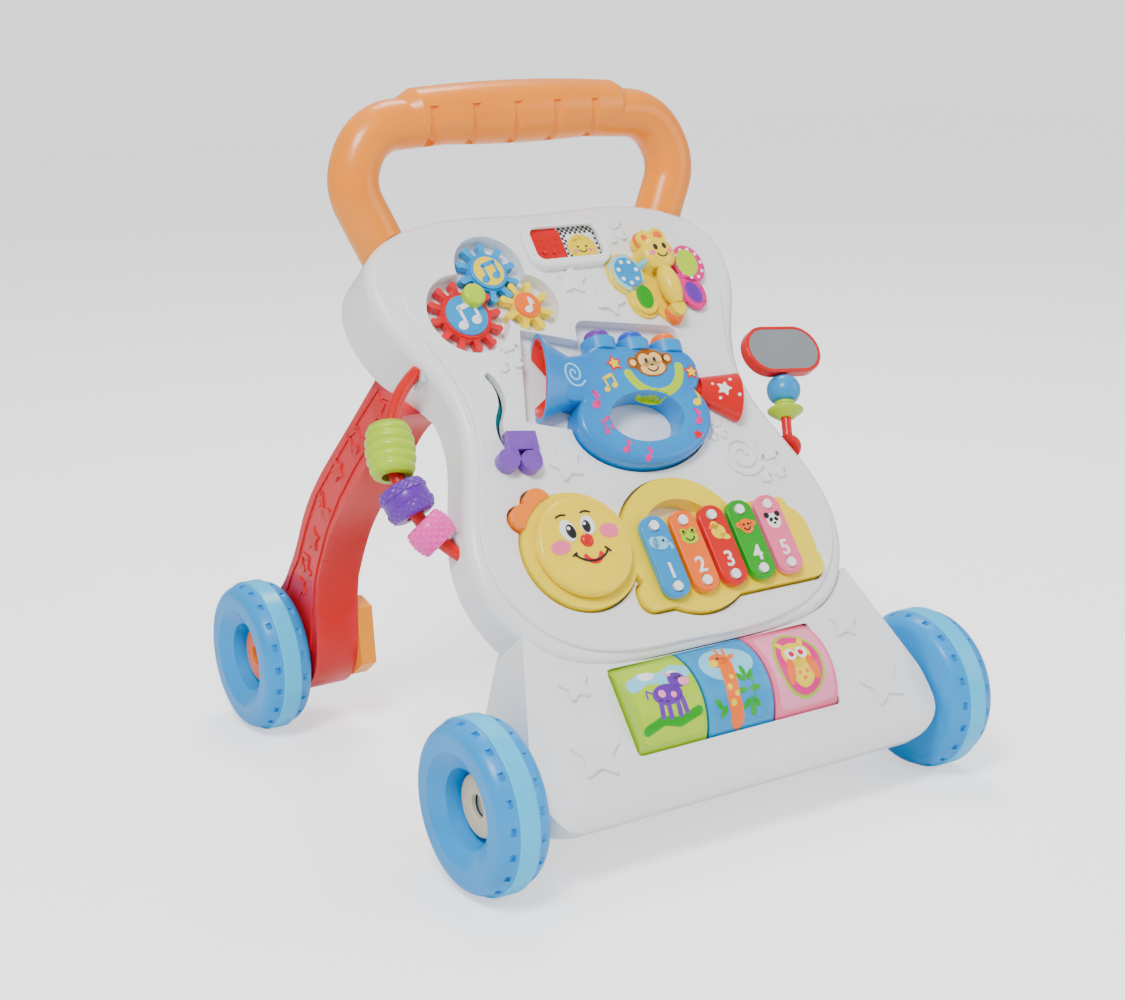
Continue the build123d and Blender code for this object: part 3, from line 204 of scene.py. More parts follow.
def two_tone(name, near, far, centre, way, reach):
    """Plastic in one colour within reach of an axis, and another colour beyond it."""
    material = plastic(name, near)
    tree = material.node_tree
    shader = tree.nodes["Principled BSDF"]
    coords = tree.nodes.new("ShaderNodeTexCoord")
    shift = tree.nodes.new("ShaderNodeVectorMath")
    shift.operation = "SUBTRACT"
    shift.inputs[1].default_value = centre
    tree.links.new(coords.outputs["Object"], shift.inputs[0])
    along = tree.nodes.new("ShaderNodeVectorMath")
    along.operation = "DOT_PRODUCT"
    along.inputs[1].default_value = way
    tree.links.new(shift.outputs["Vector"], along.inputs[0])
    size = tree.nodes.new("ShaderNodeMath")
    size.operation = "ABSOLUTE"
    tree.links.new(along.outputs["Value"], size.inputs[0])
    beyond = tree.nodes.new("ShaderNodeMath")
    beyond.operation = "GREATER_THAN"
    beyond.inputs[1].default_value = reach
    tree.links.new(size.outputs["Value"], beyond.inputs[0])
    speck = tree.nodes.new("ShaderNodeTexNoise")
    speck.inputs["Scale"].default_value = 18.0
    tree.links.new(coords.outputs["Object"], speck.inputs["Vector"])
    other = tree.nodes.new("ShaderNodeValToRGB")
    other.color_ramp.elements[0].color = linear(shade(far, -0.05))
    other.color_ramp.elements[1].color = linear(far)
    tree.links.new(speck.outputs["Fac"], other.inputs["Fac"])
    pick = tree.nodes.new("ShaderNodeMixRGB")
    tree.links.new(beyond.outputs["Value"], pick.inputs["Fac"])
    tree.links.new(shader.inputs["Base Color"].links[0].from_socket, pick.inputs["Color1"])
    tree.links.new(other.outputs["Color"], pick.inputs["Color2"])
    tree.links.new(pick.outputs["Color"], shader.inputs["Base Color"])
    return material


def dress(name, material):
    mesh = nodes[name].data
    mesh.materials.clear()
    mesh.materials.append(material)


plain = {
    "white": ["front_shell", "rear_shell", "battery_cover", "base_shell", "base_cover", "gear_posts",
              "window_frame"],
    "orange": ["handle_front", "handle_rear", "rear_bearings"],
    "red": ["leg_left", "leg_right", "bead_bar", "mirror_stalk", "mirror_frame", "mouthpiece",
            "bell_liner", "window_door", "gear_red", "key_three"],
    "sky": ["gear_blue", "key_one", "bead_ball", "roller_middle"],
    "yellow": ["worm_frame", "head_drum", "butterfly_base", "gear_yellow"],
    "tangerine": ["key_two", "valve_right", "head_tufts"],
    "green": ["key_four"],
    "rose": ["key_five", "roller_right"],
    "lime": ["crank_knob", "bead_saucer", "bead_green"],
    "pale_green": ["roller_left"],
    "purple": ["valve_left", "note_slider", "bead_purple"],
    "navy": ["valve_middle"],
    "pink": ["bead_pink"],
    "trumpet": ["trumpet_body"],
}
for colour, names in plain.items():
    for name in names:
        dress(name, paint[colour])
for corner in ("front_left", "front_right", "rear_left", "rear_right"):
    dress(f"wheel_{corner}", paint["tyre"])
    dress(f"band_{corner}", paint["band"])
dress("key_pins", paint["white"])
dress("stub_axles", steel)
dress("roller_shaft", steel)
dress("case_screws", steel)
dress("side_sockets", clip)
dress("speaker", cloth_grey)
dress("mirror_glass", mirror_material())
page_axis = Vector(joints["page_turn"]["pos_m"])
dress("butterfly_page", two_tone("page_two_tone", COLOURS["yellow"], COLOURS["magenta"],
                                 page_axis, ACROSS, 0.0085))
for node in nodes.values():
    for face in node.data.polygons:
        face.use_smooth = True
    with bpy.context.temp_override(object=node, active_object=node, selected_editable_objects=[node]):
        bpy.ops.object.shade_auto_smooth(angle=math.radians(38))


# ------------------------------------------------------------ flat outlines, in millimetres
def ring(radius, at=(0, 0), count=40):
    return [(at[0] + radius * math.cos(2 * math.pi * k / count),
             at[1] + radius * math.sin(2 * math.pi * k / count)) for k in range(count)]


def oval(half_u, half_v, at=(0, 0), turn=0.0, count=40):
    cos_turn, sin_turn = math.cos(math.radians(turn)), math.sin(math.radians(turn))
    points = []
    for k in range(count):
        along = half_u * math.cos(2 * math.pi * k / count)
        over = half_v * math.sin(2 * math.pi * k / count)
        points.append((at[0] + along * cos_turn - over * sin_turn,
                       at[1] + along * sin_turn + over * cos_turn))
    return points


def star(radius, at=(0, 0), turn=90.0, waist=0.5, tips=5):
    """A star with softly rounded tips and hollows."""
    corners = []
    for k in range(2 * tips):
        reach = radius if k % 2 == 0 else radius * waist
        angle = math.radians(turn + 180 * k / tips)
        corners.append(Vector((at[0] + reach * math.cos(angle), at[1] + reach * math.sin(angle))))
    return softened(corners, 0.22)


def softened(corners, share):
    """The outline with each corner turned into a short curve."""
    points = []
    count = len(corners)
    for k, corner in enumerate(corners):
        corner = Vector(corner)
        before = Vector(corners[k - 1])
        after = Vector(corners[(k + 1) % count])
        start = corner.lerp(before, share)
        end = corner.lerp(after, share)
        for step in range(5):
            t = step / 4
            points.append(tuple(start * (1 - t) ** 2 + corner * 2 * t * (1 - t) + end * t ** 2))
    return points


def bar(start, end, width):
    """A straight stroke with round ends."""
    start, end = Vector(start), Vector(end)
    way = (end - start).normalized()
    angle = math.atan2(way.y, way.x)
    points = []
    for centre, first in ((end, angle - math.pi / 2), (start, angle + math.pi / 2)):
        for step in range(9):
            turn = first + math.pi * step / 8
            points.append((centre.x + width / 2 * math.cos(turn), centre.y + width / 2 * math.sin(turn)))
    return points


def stroke(path, width):
    """A curved stroke along a path, with round ends."""
    path = [Vector(point) for point in path]
    left, right = [], []
    for k, point in enumerate(path):
        way = (path[min(k + 1, len(path) - 1)] - path[max(k - 1, 0)]).normalized()
        side = Vector((-way.y, way.x)) * width / 2
        left.append(tuple(point + side))
        right.append(tuple(point - side))
    tip_way = (path[-1] - path[-2]).normalized()
    tail_way = (path[0] - path[1]).normalized()
    tip = [tuple(path[-1] + Vector((math.cos(a), math.sin(a))) * width / 2)
           for a in [math.atan2(tip_way.y, tip_way.x) + math.pi / 2 - math.pi * s / 6 for s in range(1, 6)]]
    tail = [tuple(path[0] + Vector((math.cos(a), math.sin(a))) * width / 2)
            for a in [math.atan2(tail_way.y, tail_way.x) + math.pi / 2 - math.pi * s / 6
                      for s in range(1, 6)]]
    return left + tip + right[::-1] + tail


def arc_path(centre, radius, first, last, steps=16):
    return [(centre[0] + radius * math.cos(math.radians(first + (last - first) * k / steps)),
             centre[1] + radius * math.sin(math.radians(first + (last - first) * k / steps)))
            for k in range(steps + 1)]


def note(at, size, turn=0.0):
    """One quaver: head, stem and flag."""
    spin = Matrix.Rotation(math.radians(turn), 2)
    shapes = [oval(0.34 * size, 0.26 * size, (-0.12 * size, -0.45 * size), 20),
              bar((0.17 * size, -0.42 * size), (0.17 * size, 0.5 * size), 0.14 * size),
              stroke([(0.17 * size, 0.5 * size), (0.34 * size, 0.3 * size), (0.42 * size, 0.02 * size)],
                     0.16 * size)]
    return [moved(shape, at, spin) for shape in shapes]


def pair_note(at, size, turn=0.0):
    """Two quavers joined by a beam."""
    spin = Matrix.Rotation(math.radians(turn), 2)
    shapes = [oval(0.24 * size, 0.19 * size, (-0.42 * size, -0.42 * size), 20),
              oval(0.24 * size, 0.19 * size, (0.3 * size, -0.32 * size), 20),
              bar((-0.24 * size, -0.4 * size), (-0.24 * size, 0.38 * size), 0.12 * size),
              bar((0.48 * size, -0.3 * size), (0.48 * size, 0.48 * size), 0.12 * size),
              bar((-0.24 * size, 0.36 * size), (0.48 * size, 0.46 * size), 0.22 * size)]
    return [moved(shape, at, spin) for shape in shapes]


def moved(shape, at, spin):
    return [tuple(spin @ Vector(point) + Vector(at)) for point in shape]


# ------------------------------------------------------------ making pieces
def new_piece(name, mesh, material, body, auto=35):
    piece = bpy.data.objects.new(name, mesh)
    bpy.context.scene.collection.objects.link(piece)
    mesh.materials.clear()
    mesh.materials.append(material)
    for face in mesh.polygons:
        face.use_smooth = True
    with bpy.context.temp_override(object=piece, active_object=piece, selected_editable_objects=[piece]):
        bpy.ops.object.shade_auto_smooth(angle=math.radians(auto))
    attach(piece, body)
    return piece


def filled(shapes, extrude, bevel, resolution=3):
    """Outlines filled and thickened, with rounded rims; each shape is a list of loops, or one loop."""
    total = bmesh.new()
    for shape in shapes:
        loops = shape if isinstance(shape[0][0], (tuple, list, Vector)) else [shape]
        curve = bpy.data.curves.new("outline", "CURVE")
        curve.dimensions = "2D"
        curve.fill_mode = "BOTH"
        curve.extrude = extrude * MM
        curve.bevel_depth = bevel * MM
        curve.bevel_resolution = resolution
        for loop in loops:
            spline = curve.splines.new("POLY")
            spline.points.add(len(loop) - 1)
            for point, (u, v) in zip(spline.points, loop):
                point.co = (u * MM, v * MM, 0, 1)
            spline.use_cyclic_u = True
        holder = bpy.data.objects.new("outline", curve)
        bpy.context.scene.collection.objects.link(holder)
        bpy.context.view_layer.update()
        depsgraph = bpy.context.evaluated_depsgraph_get()
        mesh = bpy.data.meshes.new_from_object(holder.evaluated_get(depsgraph))
        total.from_mesh(mesh)
        bpy.data.meshes.remove(mesh)
        bpy.data.objects.remove(holder)
        bpy.data.curves.remove(curve)
    bmesh.ops.remove_doubles(total, verts=total.verts, dist=0.00001)
    return total


def relief(name, shapes, matrix, height, thick, material, body, bevel=0.5):
    """Raised shapes on a flat face; height is where their foot lies, in mm off the plane."""
    form = filled(shapes, max(thick - bevel, 0.05) / 2, bevel / 2)
    lift = Matrix.Translation((0, 0, (height + thick / 2) * MM))
    bmesh.ops.transform(form, matrix=matrix @ lift, verts=form.verts)
    mesh = bpy.data.meshes.new(name)
    form.to_mesh(mesh)
    form.free()
    return new_piece(name, mesh, material, body)


trees = {}


def surface(names):
    key = tuple(names)
    if key not in trees:
        form = bmesh.new()
        for name in names:
            form.from_mesh(bpy.data.objects[name].data)
        trees[key] = BVHTree.FromBMesh(form)
        form.free()
    return trees[key]


def sticker(name, shapes, matrix, onto, thick, material, body, step=2.0, sink=0.25):
    """Thin shapes laid on a curved surface: each point drops along the plane's normal on to the nodes named."""
    flat = filled(shapes, 0.0, 0.0)
    bmesh.ops.triangulate(flat, faces=flat.faces)
    low = [min(v.co[k] for v in flat.verts) for k in (0, 1)]
    high = [max(v.co[k] for v in flat.verts) for k in (0, 1)]
    for k, way in ((0, Vector((1, 0, 0))), (1, Vector((0, 1, 0)))):
        count = int((high[k] - low[k]) / (step * MM))
        for cut in range(1, count + 1):
            where = Vector((0, 0, 0))
            where[k] = low[k] + cut * (high[k] - low[k]) / (count + 1)
            bmesh.ops.bisect_plane(flat, geom=flat.verts[:] + flat.edges[:] + flat.faces[:],
                                   dist=0.000001, plane_co=where, plane_no=way)
    for face in flat.faces:
        face.normal_update()
        if face.normal.z < 0:
            face.normal_flip()
    flat.verts.index_update()
    tree = surface(onto)
    out = (matrix.to_3x3() @ Vector((0, 0, 1))).normalized()
    form = bmesh.new()
    upper, lower = [], []
    for vert in flat.verts:
        foot = matrix @ vert.co
        hit, _, _, _ = tree.ray_cast(foot + out * 0.08, -out, 0.2)
        foot = hit if hit is not None else foot
        upper.append(form.verts.new(foot + out * thick * MM))
        lower.append(form.verts.new(foot - out * sink * MM))
    for face in flat.faces:
        corners = [vert.index for vert in face.verts]
        form.faces.new([upper[k] for k in corners])
        form.faces.new([lower[k] for k in reversed(corners)])
    for edge in flat.edges:
        if len(edge.link_faces) == 1:
            corners = [vert.index for vert in edge.link_faces[0].verts]
            first, second = edge.verts[0].index, edge.verts[1].index
            if corners[(corners.index(first) + 1) % len(corners)] != second:
                first, second = second, first
            form.faces.new((upper[second], upper[first], lower[first], lower[second]))
    flat.free()
    mesh = bpy.data.meshes.new(name)
    form.to_mesh(mesh)
    form.free()
    return new_piece(name, mesh, material, body, auto=50)


def lathe(name, profile, origin, way, material, body, turns=96, ripple=None):
    """A ring turned about an axis from a closed profile of (along, radius) in mm; ripple(along, angle) adds to the
    outer radius."""
    matrix = plane_matrix(Vector(origin), Vector((0.31, 0.2, 0.93)), way)
    form = bmesh.new()
    loops = []
    for k in range(turns):
        angle = 2 * math.pi * k / turns
        loop = []
        for along, radius, outer in profile:
            extra = ripple(along, angle) if ripple and outer else 0.0
            reach = (radius + extra) * MM
            loop.append(form.verts.new(matrix @ Vector((reach * math.cos(angle), reach * math.sin(angle),
                                                        along * MM))))
        loops.append(loop)
    count = len(profile)
    for k in range(turns):
        here, there = loops[k], loops[(k + 1) % turns]
        for j in range(count):
            form.faces.new((here[j], here[(j + 1) % count], there[(j + 1) % count], there[j]))
    bmesh.ops.recalc_face_normals(form, faces=form.faces)
    mesh = bpy.data.meshes.new(name)
    form.to_mesh(mesh)
    form.free()
    return new_piece(name, mesh, material, body, auto=40)


def dome(name, at, half, height, material, body, matrix=PANEL, foot=0.0):
    """A smooth cushion-shaped button: at and half in the plane, height off foot."""
    form = bmesh.new()
    rings, sides = 8, 32
    loops = []
    for j in range(rings):
        turn = math.pi / 2 * j / rings
        loop = []
        for k in range(sides):
            angle = 2 * math.pi * k / sides
            reach = math.cos(turn) ** 0.8
            loop.append(form.verts.new(matrix @ (Vector((at[0] + half[0] * reach * math.cos(angle),
                                                         at[1] + half[1] * reach * math.sin(angle),
                                                         foot + height * math.sin(turn))) * MM)))
        loops.append(loop)
    top = form.verts.new(matrix @ (Vector((at[0], at[1], foot + height)) * MM))
    for j in range(rings - 1):
        for k in range(sides):
            form.faces.new((loops[j][k], loops[j][(k + 1) % sides], loops[j + 1][(k + 1) % sides],
                            loops[j + 1][k]))
    for k in range(sides):
        form.faces.new((loops[-1][k], loops[-1][(k + 1) % sides], top))
    form.faces.new(loops[0][::-1])
    mesh = bpy.data.meshes.new(name)
    form.to_mesh(mesh)
    form.free()
    return new_piece(name, mesh, material, body, auto=60)


def digit(name, text, matrix, size, material, body, height, thick):
    curve = bpy.data.curves.new(name, "FONT")
    curve.body = text
    curve.align_x = "CENTER"
    curve.align_y = "CENTER"
    curve.size = size * MM
    curve.extrude = thick / 2 * MM
    curve.offset = 0.25 * MM
    holder = bpy.data.objects.new(name, curve)
    bpy.context.scene.collection.objects.link(holder)
    bpy.context.view_layer.update()
    mesh = bpy.data.meshes.new_from_object(holder.evaluated_get(bpy.context.evaluated_depsgraph_get()))
    bpy.data.objects.remove(holder)
    mesh.transform(matrix @ Matrix.Translation((0, 0, (height + thick / 2) * MM)))
    mesh.name = name
    return new_piece(name, mesh, material, body)


# ------------------------------------------------------------ raised shapes moulded into the panel
plate = 0.0
outlined = []
for at, radius, turn in (((5, 320), 12, 80), ((27.7, 301.7), 12.5, 60), ((-54.8, 187.5), 13, 100)):
    outlined.append(star(radius, at, turn, 0.52))
relief("panel_stars", outlined, PANEL, plate - 0.2, 2.6, paint["white"], "walker", bevel=0.9)
notes = pair_note((55.5, 353.5), 12, 5) + pair_note((-66, 268.4), 16, 0) + pair_note((101.4, 162), 18, 0)
notes += pair_note((70.6, 194), 11, 0)
relief("panel_notes", notes, PANEL, plate - 0.2, 2.2, paint["white"], "walker", bevel=0.7)
spiral = [(82 + (3.5 + 0.72 * turn / 40) * math.cos(math.radians(turn)),
           174 + (3.5 + 0.72 * turn / 40) * math.sin(math.radians(turn))) for turn in range(0, 760, 16)]
relief("panel_spiral", [stroke(spiral, 2.4)], PANEL, plate - 0.2, 2.2, paint["white"], "walker", bevel=0.7)
base_face = -3.0
relief("base_stars", [star(11.5, (-106.5, 45), 96, 0.5), star(18.5, (-109, 1), 84, 0.5), star(11.5, (108, 44), 80, 0.5),
                      star(18.5, (118, 0), 100, 0.5)],
       PANEL, base_face - 0.3, 3.0, paint["white"], "walker", bevel=1.3)
teal_path = arc_path((-68.3, 214.8), 24, 144, 196) [::-1] + arc_path((-106.1, 244.4), 24, -38, 30)
relief("slot_floor", [stroke(teal_path, 6.5)], PANEL, -10.5, 0.6, paint["teal"], "walker", 0.2)

# ------------------------------------------------------------ gear labels
def gear_place(name):
    spot = Vector(joints[f"{name}_gear_spin"]["pos_m"]) / MM - PANEL_FOOT
    return spot.dot(ACROSS), spot.dot(UP_SLOPE), spot.dot(NORMAL)


for name, radius, rim, face, ink, size in (("blue", 13.0, "sky", "yellow", "sky", 13),
                                           ("red", 14.5, "sky", "navy", "white", 16),
                                           ("yellow", 9.0, "tangerine", "tangerine", "white", 9)):
    u, v, bottom = gear_place(name)
    top = bottom + 6.0
    body = f"{name}_gear"
    relief(f"{name}_gear_rim", [ring(radius, (u, v))], PANEL, top - 0.2, 2.2, paint[rim], body, 0.9)
    relief(f"{name}_gear_face", [ring(radius - 2.0, (u, v))], PANEL, top + 1.6, 0.7,
           paint["sky"] if face == "navy" else paint[face], body, 0.3)
    marks = pair_note((u, v), size, 8) if name != "yellow" else note((u, v), size, 0)
    relief(f"{name}_gear_note", marks, PANEL, top + 2.2, 0.5, paint[ink], body, 0.2)

# ------------------------------------------------------------ the worm's face
drum = ["head_drum"]
relief_face = [("eye_whites", [oval(5.4, 7.6, (-79.8, 138.5), 8), oval(4.9, 6.6, (-64.3, 140), -4)], "white", 0.7),
               ("cheeks", [oval(7.2, 4.6, (-89.0, 128.5), 4), oval(6.8, 5.0, (-50.5, 134), -4)], "rose", 0.5),
               ("smile", [stroke(arc_path((-68.5, 131.5), 15.5, 216, 318), 1.4),
                          bar((-82.5, 121.5), (-79.5, 123.0), 1.4), bar((-57.8, 123.5), (-55.0, 120.5), 1.4)],
                "ink", 0.5),
               ("lip", [stroke(arc_path((-68.0, 121.5), 6.0, 196, 344), 3.2)], "red", 0.45)]
for name, shapes, colour, thick in relief_face:
    sticker(f"worm_{name}", shapes, PANEL, drum, thick, paint[colour], "drum", 3.0)
sticker("worm_pupils", [oval(3.3, 4.9, (-78.0, 137.6), 8), oval(2.9, 4.2, (-65.8, 139.2), -4)], PANEL, drum,
        1.0, paint["ink"], "drum", 3.0)
sticker("worm_glints", [ring(1.2, (-79.2, 139.8), 16), ring(1.1, (-66.9, 141.2), 16)], PANEL, drum, 1.25,
        paint["white"], "drum", 3.0)
dome("worm_nose", (-68.8, 130.2), (4.6, 4.6), 2.6, paint["red"], "drum", foot=12.0)
sticker("worm_brows", [stroke(arc_path((-80.5, 141), 8.6, 70, 120), 1.2),
                              stroke(arc_path((-63.4, 142), 7.6, 58, 110), 1.2)],
        PANEL, drum, 0.5, paint["ink"], "drum", 3.0)

# ------------------------------------------------------------ numbered keys
key_colours = ("sky", "tangerine", "red", "green", "rose")
key_words = ("one", "two", "three", "four", "five")
for place, word in enumerate(key_words):
    u = -15.6 + 23.2 * place
    spot = plane_matrix(on_panel(u, 99.5), ACROSS, NORMAL)
    digit(f"key_number_{word}", str(place + 1), spot, 15, paint["white"], f"{word}_key", 10.3, 0.6)
    v = 119.5
    if place == 0:
        shapes = [oval(6.0, 4.6, (u, v), 0), oval(3.4, 4.0, (u - 5.0, v + 1.0), 10),
                  stroke([(u + 5.0, v), (u + 7.2, v - 2.2), (u + 7.0, v - 4.6)], 1.8)]
        inner = [ring(0.9, (u + 2.2, v + 1.2), 12)]
        colours = ("pale_blue", "ink")
    elif place == 1:
        shapes = [oval(6.4, 4.6, (u, v)), ring(2.4, (u - 3.6, v + 4.2), 20), ring(2.4, (u + 3.6, v + 4.2), 20)]
        inner = [ring(1.0, (u - 3.6, v + 4.4), 12), ring(1.0, (u + 3.6, v + 4.4), 12),
                 stroke(arc_path((u, v + 1.0), 3.4, 200, 340, 8), 0.8)]
        colours = ("lime", "ink")
    elif place == 2:
        shapes = [oval(5.4, 5.0, (u, v)), oval(4.0, 2.0, (u + 3.6, v - 4.0), -20), ring(3.0, (u - 1.6, v + 4.6), 20)]
        inner = [ring(0.9, (u - 2.2, v + 5.2), 12), oval(2.2, 1.1, (u - 4.8, v + 3.8), 200)]
        colours = ("yellow", "tangerine")
    elif place == 3:
        shapes = [ring(5.2, (u, v), 28), ring(2.2, (u - 5.6, v + 1.4), 16), ring(2.2, (u + 5.6, v + 1.4), 16)]
        inner = [ring(0.8, (u - 1.9, v + 1.2), 12), ring(0.8, (u + 1.9, v + 1.2), 12),
                 stroke(arc_path((u, v), 2.8, 205, 335, 8), 0.8)]
        colours = ("tangerine", "ink")
    else:
        shapes = [ring(5.4, (u, v), 28)]
        inner = [ring(2.0, (u - 4.4, v + 4.4), 16), ring(2.0, (u + 4.4, v + 4.4), 16),
                 oval(1.7, 1.3, (u - 2.1, v + 0.8), 40), oval(1.7, 1.3, (u + 2.1, v + 0.8), -40),
                 oval(1.1, 0.8, (u, v - 1.8))]
        colours = ("white", "ink")
    relief(f"key_animal_{word}", shapes, PANEL, 10.3, 0.55, paint[colours[0]], f"{word}_key", 0.15)
    relief(f"key_animal_marks_{word}", inner, PANEL, 10.7, 0.4, paint[colours[1]], f"{word}_key",
           0.1)

# ------------------------------------------------------------ trumpet pictures
horn = ["trumpet_body"]
face = (32.0, 246.0)


def horn_sticker(name, shapes, colour, thick, step=3.0):
    sticker(f"trumpet_{name}", shapes, PANEL, horn, thick, paint[colour], "trumpet", step)


horn_sticker("animal_arms", [stroke(arc_path((face[0], face[1] - 2), 21, 190, 350, 14), 6.5)], "lime", 0.3)
horn_sticker("animal_head", [oval(13.5, 10.5, face), ring(4.4, (face[0] - 14, face[1] + 1.5), 20),
                             ring(4.4, (face[0] + 14, face[1] + 1.5), 20)], "brown", 0.5)
horn_sticker("animal_face", [oval(9.8, 5.4, (face[0], face[1] - 4.2)), oval(5.0, 5.2, (face[0] - 4.3, face[1] + 2.0)),
                             oval(5.0, 5.2, (face[0] + 4.3, face[1] + 2.0)),
                             ring(2.4, (face[0] - 14, face[1] + 1.5), 16), ring(2.4, (face[0] + 14, face[1] + 1.5), 16)],
             "tan", 0.75)
horn_sticker("animal_eyes", [oval(1.2, 1.8, (face[0] - 3.4, face[1] + 1.8)), oval(1.2, 1.8, (face[0] + 3.4, face[1] + 1.8)),
                             stroke(arc_path((face[0], face[1] - 2.2), 4.6, 205, 335, 10), 1.0),
                             oval(1.2, 0.7, (face[0], face[1] - 2.0))], "ink", 1.0)
horn_sticker("star_rims", [star(6.6, (3.5, 249), 95, 0.5), star(6.4, (61, 235), 75, 0.5),
                           star(4.2, (46, 189), 80, 0.5)], "red", 0.35)
horn_sticker("star_fills", [star(4.4, (3.5, 249), 95, 0.5), star(4.2, (61, 235), 75, 0.5)], "yellow", 0.6)
horn_sticker("yellow_notes", pair_note((-6, 236), 10, 10) + note((57, 217), 10, 0), "yellow", 0.4)
horn_sticker("magenta_notes", note((-22, 226), 10, 10) + pair_note((-20, 206), 9, 20) + note((-12, 190), 8, -10)
             + note((2, 182), 8, -5) + note((51, 203), 9, 15), "magenta", 0.4)
swirl = [(-30 + (1.0 + 0.0105 * turn) * math.cos(math.radians(turn)),
          246 + (1.0 + 0.0105 * turn) * 1.25 * math.sin(math.radians(turn))) for turn in range(0, 700, 20)]
horn_sticker("swirl", [stroke(swirl, 1.3)], "pale_blue", 0.35)
sticker("mouthpiece_star", [star(6.0, (81, 219), 60, 0.5)], PANEL, ["mouthpiece"], 0.4, paint["white"], "trumpet",
        2.5)
sticker("mouthpiece_dots", [ring(1.2, (89, 225), 12), ring(1.2, (90, 212), 12), ring(1.0, (74, 224), 12),
                            ring(1.0, (76, 213), 12)], PANEL, ["mouthpiece"], 0.35, paint["white"], "trumpet",
        3.0)

# ------------------------------------------------------------ the picture behind the sliding door
relief("window_card", [[(-19.0, 333.5), (38.0, 333.5), (38.0, 361.5), (-19.0, 361.5)]], PANEL, 0.02, 0.1,
       paint["white"], "walker", 0.02)
checks = []
for k in range(-9, 20):
    for j in range(0, 14):
        if (k + j) % 2 == 0 and (j > 10 or k > 17 or k < 7):
            checks.append([(2 * k, 334 + 2 * j), (2 * k + 2, 334 + 2 * j), (2 * k + 2, 336 + 2 * j),
                           (2 * k, 336 + 2 * j)])
relief("window_checks", checks, PANEL, 0.1, 0.08, paint["ink"], "walker", 0.02)
sun = (24.0, 344.0)
rays = [ring(2.6, (sun[0] + 9.2 * math.cos(a), sun[1] + 9.2 * math.sin(a)), 12)
        for a in [math.radians(24 * k) for k in range(15)]]
relief("window_sun", [ring(9.4, sun)] + rays, PANEL, 0.15, 0.1, paint["yellow"], "walker", 0.02)
relief("window_sun_face", [ring(1.0, (sun[0] - 3.4, sun[1] + 1.5), 12), ring(1.0, (sun[0] + 3.4, sun[1] + 1.5), 12),
                           stroke(arc_path((sun[0], sun[1] + 0.5), 3.4, 205, 335, 10), 0.9)],
       PANEL, 0.24, 0.1, paint["ink"], "walker", 0.02)
relief("window_sun_cheeks", [ring(1.5, (sun[0] - 6, sun[1] - 1.5), 12), ring(1.5, (sun[0] + 6, sun[1] - 1.5), 12)],
       PANEL, 0.24, 0.08, paint["rose"], "walker", 0.02)
relief("window_door_pips", [ring(0.7, (-12.0 + 5.0 * k, 342.0 + 5.0 * j), 12) for k in range(4) for j in range(3)],
       PANEL, 2.6, 0.7, paint["red"], "door", 0.3)

# ------------------------------------------------------------ butterfly
base_wing = ["butterfly_base"]
page_wing = ["butterfly_page"]


def wing_dots(centre, half, count, first, size):
    return [ring(size, (centre[0] + half[0] * 0.72 * math.cos(math.radians(first + 360 * k / count)),
                        centre[1] + half[1] * 0.72 * math.sin(math.radians(first + 360 * k / count))), 14)
            for k in range(count)]


sticker("wing_upper_left", [oval(13.4, 15.0, (49.0, 319.5), 12)], PANEL, base_wing, 0.5, paint["pale_blue"], "walker",
        3.0)
sticker("wing_upper_left_inner", [oval(10.0, 11.6, (49.0, 319.5), 12)], PANEL, base_wing, 0.8, paint["sky"], "walker",
        3.0)
sticker("wing_upper_left_dots", wing_dots((49.0, 319.5), (10, 12), 7, 60, 1.6), PANEL, base_wing, 1.05,
        paint["white"], "walker", 3.0)
sticker("wing_lower_left", [oval(10.2, 13.2, (54.5, 299.0), -8)], PANEL, base_wing, 0.5, paint["yellow"], "walker",
        3.0)
sticker("wing_lower_left_inner", [oval(6.6, 9.2, (54.5, 299.0), -8)], PANEL, base_wing, 0.8, paint["green"], "walker",
        3.0)
sticker("wing_upper_right", [oval(12.6, 15.2, (101.5, 321.0), -14)], PANEL, page_wing, 0.3, paint["magenta"], "page",
        3.0)
sticker("wing_upper_right_inner", [oval(8.6, 11.0, (100.0, 321.5), -14)], PANEL, page_wing, 0.6, paint["lime"],
        "page", 3.0)
sticker("wing_upper_right_dots", wing_dots((102.0, 321.0), (13.6, 16.4), 10, 0, 1.3), PANEL, page_wing, 0.55,
        paint["white"], "page", 3.0)
sticker("wing_lower_right", [oval(9.6, 12.6, (96.0, 298.0), 10)], PANEL, page_wing, 0.3, paint["magenta"], "page",
        3.0)
sticker("wing_lower_right_inner", [oval(6.2, 8.6, (95.5, 298.0), 10)], PANEL, page_wing, 0.6, paint["purple"], "page",
        3.0)
bug_top = 12.3
dome("butterfly_head", (74, 328), (13.2, 12.6), 5.0, paint["yellow"], "walker", foot=bug_top - 0.3)
dome("butterfly_tuft_left", (67.5, 341.0), (7.2, 6.6), 4.2, paint["tangerine"], "walker", foot=bug_top - 4)
dome("butterfly_tuft_right", (79.5, 342.0), (6.6, 6.2), 4.6, paint["tangerine"], "walker",
     foot=bug_top - 4)
dome("butterfly_tail", (73, 283.5), (6.6, 8.0), 8.0, paint["tangerine"], "walker", foot=2.0)
bug_head = ["butterfly_head"]
sticker("butterfly_eyes", [oval(1.7, 2.5, (70.2, 330.5)), oval(1.7, 2.5, (77.6, 330.8)),
                           stroke(arc_path((74, 327), 4.4, 205, 335, 10), 1.0)], PANEL, bug_head, 0.25, paint["ink"],
        "walker", 3.0)
